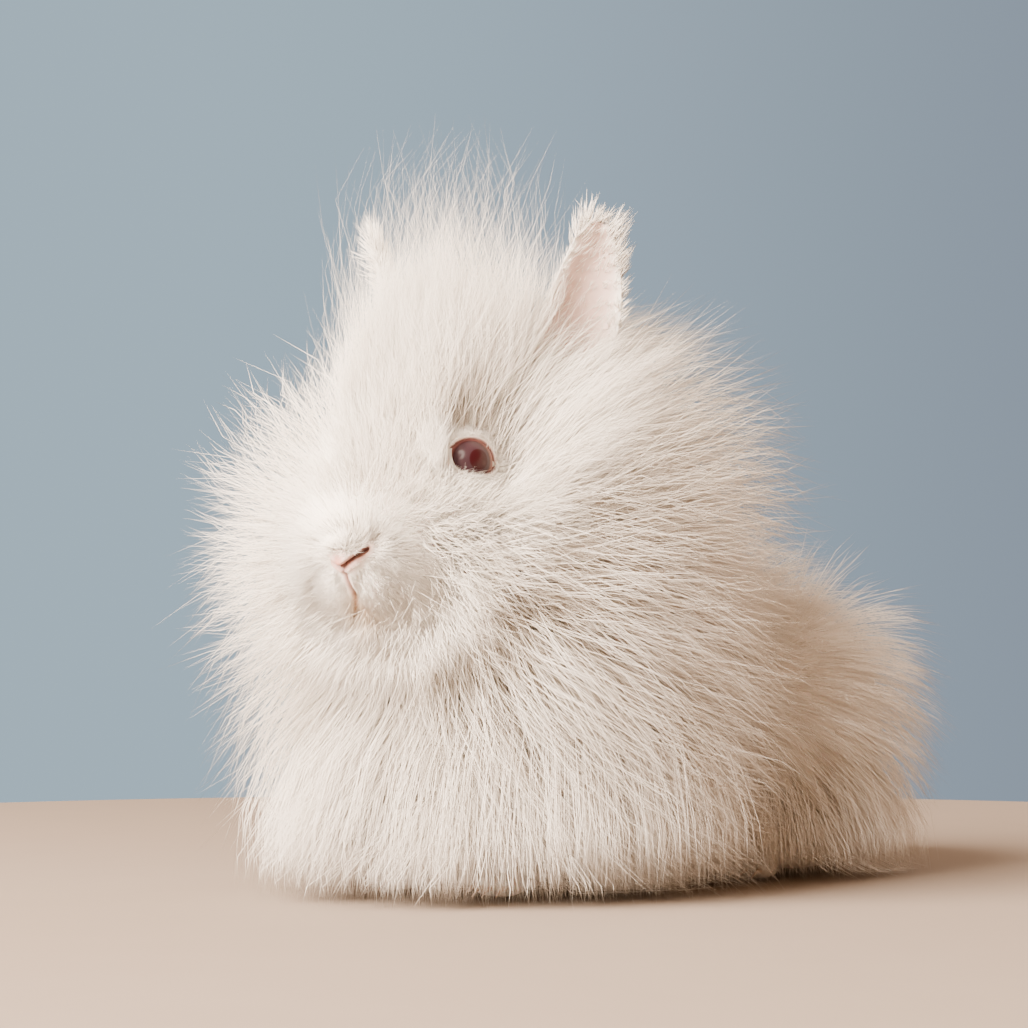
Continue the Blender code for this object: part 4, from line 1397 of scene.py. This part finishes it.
def make_eye(side, material, settings):
    """An eyeball with a domed front, with its angle from the gaze kept at each point."""
    centre = eye_centre(side)
    gaze = on_side(GAZE, side).normalized()
    turn = gaze.to_track_quat("Z", "Y").to_matrix()
    bm = bmesh.new()
    polar = bm.verts.layers.float.new("polar")
    around = bm.verts.layers.float.new("turn")
    hole = bm.verts.layers.float.new("hole")
    sight = on_side(PUPIL_WAY, side).normalized()
    rings, count = 60, 72
    edge = math.asin(settings.iris_radius / EYE_RADIUS) * 1.25
    rows = []
    for r in range(1, rings):
        angle = math.pi * (r / rings) ** 1.25
        dome = max(math.cos(min(angle / edge, 1) * math.pi / 2), 0)
        radius = EYE_RADIUS + CORNEA_RISE * dome**1.5
        row = []
        for k in range(count):
            a = 2 * math.pi * k / count
            way = Vector((math.sin(angle) * math.cos(a), math.sin(angle) * math.sin(a),
                          math.cos(angle)))
            vertex = bm.verts.new(centre + turn @ way * radius)
            vertex[polar] = angle / math.pi
            vertex[hole] = (turn @ way).angle(sight) / math.pi
            vertex[around] = abs(k / count - 0.5) * 2
            row.append(vertex)
        rows.append(row)
    front = bm.verts.new(centre + gaze * (EYE_RADIUS + CORNEA_RISE))
    back = bm.verts.new(centre - gaze * EYE_RADIUS)
    back[polar] = back[hole] = 1.0
    front[hole] = gaze.angle(sight) / math.pi
    for k in range(count):
        bm.faces.new((front, rows[0][k], rows[0][(k + 1) % count]))
        bm.faces.new((back, rows[-1][(k + 1) % count], rows[-1][k]))
    join_rows(bm, rows, turned=True, capped=False)
    name = "left" if side > 0 else "right"
    obj = new_piece(f"eyeball_{name}", mesh_from(bm, "eye"), material)
    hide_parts(f"eye_{name}")


def make_claws(material):
    """Curved, tapered claws at the toes."""
    bm = bmesh.new()
    for start, _ in toes(0.0022):
        rows = []
        for step in range(6):
            t = step / 5
            at = start + Vector((0, -0.0050 * t, 0.0040 - 0.0024 * t * t))
            r = 0.0009 * (1 - 0.85 * t)
            rows.append([
                at + Vector((r * math.cos(a), 0, r * math.sin(a)))
                for a in (2 * math.pi * j / 8 for j in range(8))
            ])
        add_loft(bm, rows)
    bmesh.ops.recalc_face_normals(bm, faces=bm.faces)
    new_piece("claws", mesh_from(bm, "claws"), material)


# Operators


def skin_ground():
    return Ground(bpy.data.objects["skin"])


class RABBIT_OT_skin(bpy.types.Operator):
    """Make the skin in place of the flesh solids"""

    bl_idname = "rabbit.skin"
    bl_label = "Skin, nose, lids and ears"

    def execute(self, context):
        make_skin(context.scene.rabbit_skin)
        return {"FINISHED"}


class RABBIT_OT_eyes(bpy.types.Operator):
    """Make both ruby eyes"""

    bl_idname = "rabbit.eyes"
    bl_label = "Eyes"

    def execute(self, context):
        settings = context.scene.rabbit_eyes
        material = eye_material(settings)
        for side in (1, -1):
            make_eye(side, material, settings)
        return {"FINISHED"}


class RABBIT_OT_claws(bpy.types.Operator):
    """Make the claws of the four feet"""

    bl_idname = "rabbit.claws"
    bl_label = "Claws"

    def execute(self, context):
        make_claws(claw_material())
        return {"FINISHED"}


class RABBIT_OT_mane(bpy.types.Operator):
    """Grow the mane, the beard and the bib"""

    bl_idname = "rabbit.mane"
    bl_label = "Mane, beard and bib"

    def execute(self, context):
        settings = context.scene.rabbit_coat
        ground, width = skin_ground(), settings.tuft_width
        draw = np.random.default_rng(SEED)

        def clear(tufts):
            return clear_of_eyes(tufts, 1.25)

        mane = mane_tufts(ground, settings.mane_count, width, (0.60, 1.02), 0.0046, draw)
        locks = ((0.011, 0.15), (0.0036, 0.30))
        grow("coat_mane", mane, locks, LONG, 0.070, settings, draw, clear)
        under = mane_tufts(ground, settings.under_count, width * 1.3, (0.25, 0.80), 0.0060, draw)
        locks = ((0.011, 0.075), (0.0036, 0.15))
        grow("coat_under", under, locks, (0, 0.35, 0.68, 1.0), 0.070, settings, draw, clear)
        beard = beard_tufts(ground, BEARD_COUNT, width, draw)
        grow("coat_beard", beard, ((0.004, 0.4),), CURVED, 0.02, settings, draw)
        bib = hanging_tufts(ground, bib_weight(ground), BIB_COUNT, width, BIB_REACH, draw)
        locks = ((0.009, 0.20), (0.004, 0.35))
        grow("coat_bib", bib, locks, (0, 0.25, 0.5, 0.75, 1.0), 0.022, settings, draw)
        return {"FINISHED"}


class RABBIT_OT_crest(bpy.types.Operator):
    """Grow the crest between the ears"""

    bl_idname = "rabbit.crest"
    bl_label = "Crest"

    def execute(self, context):
        settings = context.scene.rabbit_coat
        draw = np.random.default_rng(SEED + 1)
        crest = crest_tufts(skin_ground(), CREST_COUNT, settings, draw)
        locks = ((0.006, 0.20), (0.0024, 0.30))
        grow(
            "coat_crest", crest, locks, LONG, 0.08, settings, draw,
            lambda tufts: clear_of_eyes(tufts, 1.3),
        )
        return {"FINISHED"}


class RABBIT_OT_face(bpy.types.Operator):
    """Grow the short fur of the face"""

    bl_idname = "rabbit.face"
    bl_label = "Face"

    def execute(self, context):
        settings = context.scene.rabbit_coat
        draw = np.random.default_rng(SEED + 2)
        ground = skin_ground()
        face = face_tufts(ground, settings.face_count, draw)
        grow(
            "coat_face", face, ((0.0016, 0.15),), STRAIGHT, 0.02, settings, draw,
            lambda tufts: clear_of_nose(clear_of_eyes(tufts, 1.1)),
        )
        grow("lashes", lash_tufts(ground, draw), (), BENT, 0.02, settings, draw)
        whiskers = whisker_tufts(ground, draw)
        grow("whiskers", whiskers, (), (0, 0.33, 0.68, 1.0), 0.01, settings, draw)
        return {"FINISHED"}


class RABBIT_OT_body(bpy.types.Operator):
    """Grow the coat of the body, tail, ears and feet"""

    bl_idname = "rabbit.body"
    bl_label = "Body, tail, ears and feet"

    def execute(self, context):
        settings = context.scene.rabbit_coat
        ground, width = skin_ground(), settings.tuft_width
        draw = np.random.default_rng(SEED + 3)
        body = body_tufts(ground, settings.body_count, settings, draw)
        grow("coat_body", body, ((0.009, 0.22), (0.0036, 0.45)), CURVED, 0.03, settings, draw)
        skirt = hanging_tufts(ground, skirt_weight(ground), SKIRT_COUNT, width, SKIRT_REACH, draw)
        grow("coat_skirt", skirt, ((0.009, 0.25), (0.004, 0.45)), CURVED, 0.018, settings, draw)
        tail = tail_tufts(ground, TAIL_COUNT, width, draw)
        grow("coat_tail", tail, ((0.004, 0.6),), CURVED, 0.02, settings, draw)
        ears = ear_tufts(ground, EAR_COUNT, draw)
        grow("coat_ears", ears, ((0.002, 0.4),), BENT, 0.02, settings, draw)
        feet = foot_tufts(ground, FOOT_COUNT, draw)
        grow("coat_feet", feet, ((0.002, 0.4),), BENT, 0.02, settings, draw)
        return {"FINISHED"}


class RABBIT_OT_stage(bpy.types.Operator):
    """Make the floor, the light and the camera"""

    bl_idname = "rabbit.stage"
    bl_label = "Stage and camera"

    def execute(self, context):
        settings = context.scene.rabbit_stage
        bm = bmesh.new()
        bmesh.ops.create_circle(bm, cap_ends=True, segments=128, radius=settings.floor_radius)
        mesh = bpy.data.meshes.new("floor")
        bm.to_mesh(mesh)
        bm.free()
        mesh.transform(Matrix.Translation(SHIFT * Vector((1, 1, 0))))
        mesh.materials.append(floor_material(settings))
        floor = bpy.data.objects.new("floor", mesh)
        context.collection.objects.link(floor)
        context.scene.world = studio_world()
        aim = MANE_CENTRE + SHIFT
        lights = (
            ("key", Vector((-0.24, -1.26, 0.82)), 1.30, settings.key_power, (1.0, 0.835, 0.69)),
            ("rim", Vector((0.10, 1.05, 0.85)), 0.60, settings.key_power * 0.03, (1.0, 0.88, 0.78)),
        )
        for name, place, size, power, colour in lights:
            data = bpy.data.lights.new(name, "AREA")
            data.shape, data.size, data.energy, data.color = "DISK", size, power, colour
            lamp = bpy.data.objects.new(name, data)
            lamp.location = aim + place
            lamp.rotation_euler = (-place).to_track_quat("-Z", "Y").to_euler()
            context.collection.objects.link(lamp)
        data = bpy.data.cameras.new("camera")
        data.lens, data.sensor_width = CAMERA_LENS, 36.0
        data.clip_start, data.clip_end = 0.05, 20.0
        camera = bpy.data.objects.new("camera", data)
        camera.location = CAMERA_PLACE + SHIFT
        camera.rotation_euler = CAMERA_WAY.to_track_quat("-Z", "Y").to_euler()
        context.collection.objects.link(camera)
        context.scene.camera = camera
        return {"FINISHED"}


class RABBIT_PT_panel(bpy.types.Panel):
    """Sizes and colours of the rabbit and the buttons that make its pieces"""

    bl_idname = "RABBIT_PT_panel"
    bl_label = "Lionhead rabbit"
    bl_space_type = "VIEW_3D"
    bl_region_type = "UI"
    bl_category = "Rabbit"

    def draw(self, context):
        for group in ("rabbit_skin", "rabbit_eyes", "rabbit_coat", "rabbit_stage"):
            settings = getattr(context.scene, group)
            box = self.layout.box()
            for key in settings.__annotations__:
                box.prop(settings, key)
        for step in STEPS:
            self.layout.operator(step.bl_idname)


STEPS = (
    RABBIT_OT_stage, RABBIT_OT_skin, RABBIT_OT_eyes, RABBIT_OT_claws, RABBIT_OT_face,
    RABBIT_OT_crest, RABBIT_OT_mane, RABBIT_OT_body,
)
GROUPS = {
    "rabbit_coat": RabbitCoatSettings,
    "rabbit_skin": RabbitSkinSettings,
    "rabbit_eyes": RabbitEyeSettings,
    "rabbit_stage": RabbitStageSettings,
}


def register():
    for name, group in GROUPS.items():
        bpy.utils.register_class(group)
        setattr(bpy.types.Scene, name, bpy.props.PointerProperty(type=group))
    for item in (*STEPS, RABBIT_PT_panel):
        bpy.utils.register_class(item)


def unregister():
    for item in (RABBIT_PT_panel, *reversed(STEPS)):
        bpy.utils.unregister_class(item)
    for name, group in GROUPS.items():
        delattr(bpy.types.Scene, name)
        bpy.utils.unregister_class(group)


def main():
    register()
    bpy.ops.rabbit.stage()
    bpy.ops.rabbit.skin()
    bpy.ops.rabbit.eyes()
    bpy.ops.rabbit.claws()
    bpy.ops.rabbit.face()
    bpy.ops.rabbit.crest()
    bpy.ops.rabbit.mane()
    bpy.ops.rabbit.body()


if __name__ == "__main__":
    main()
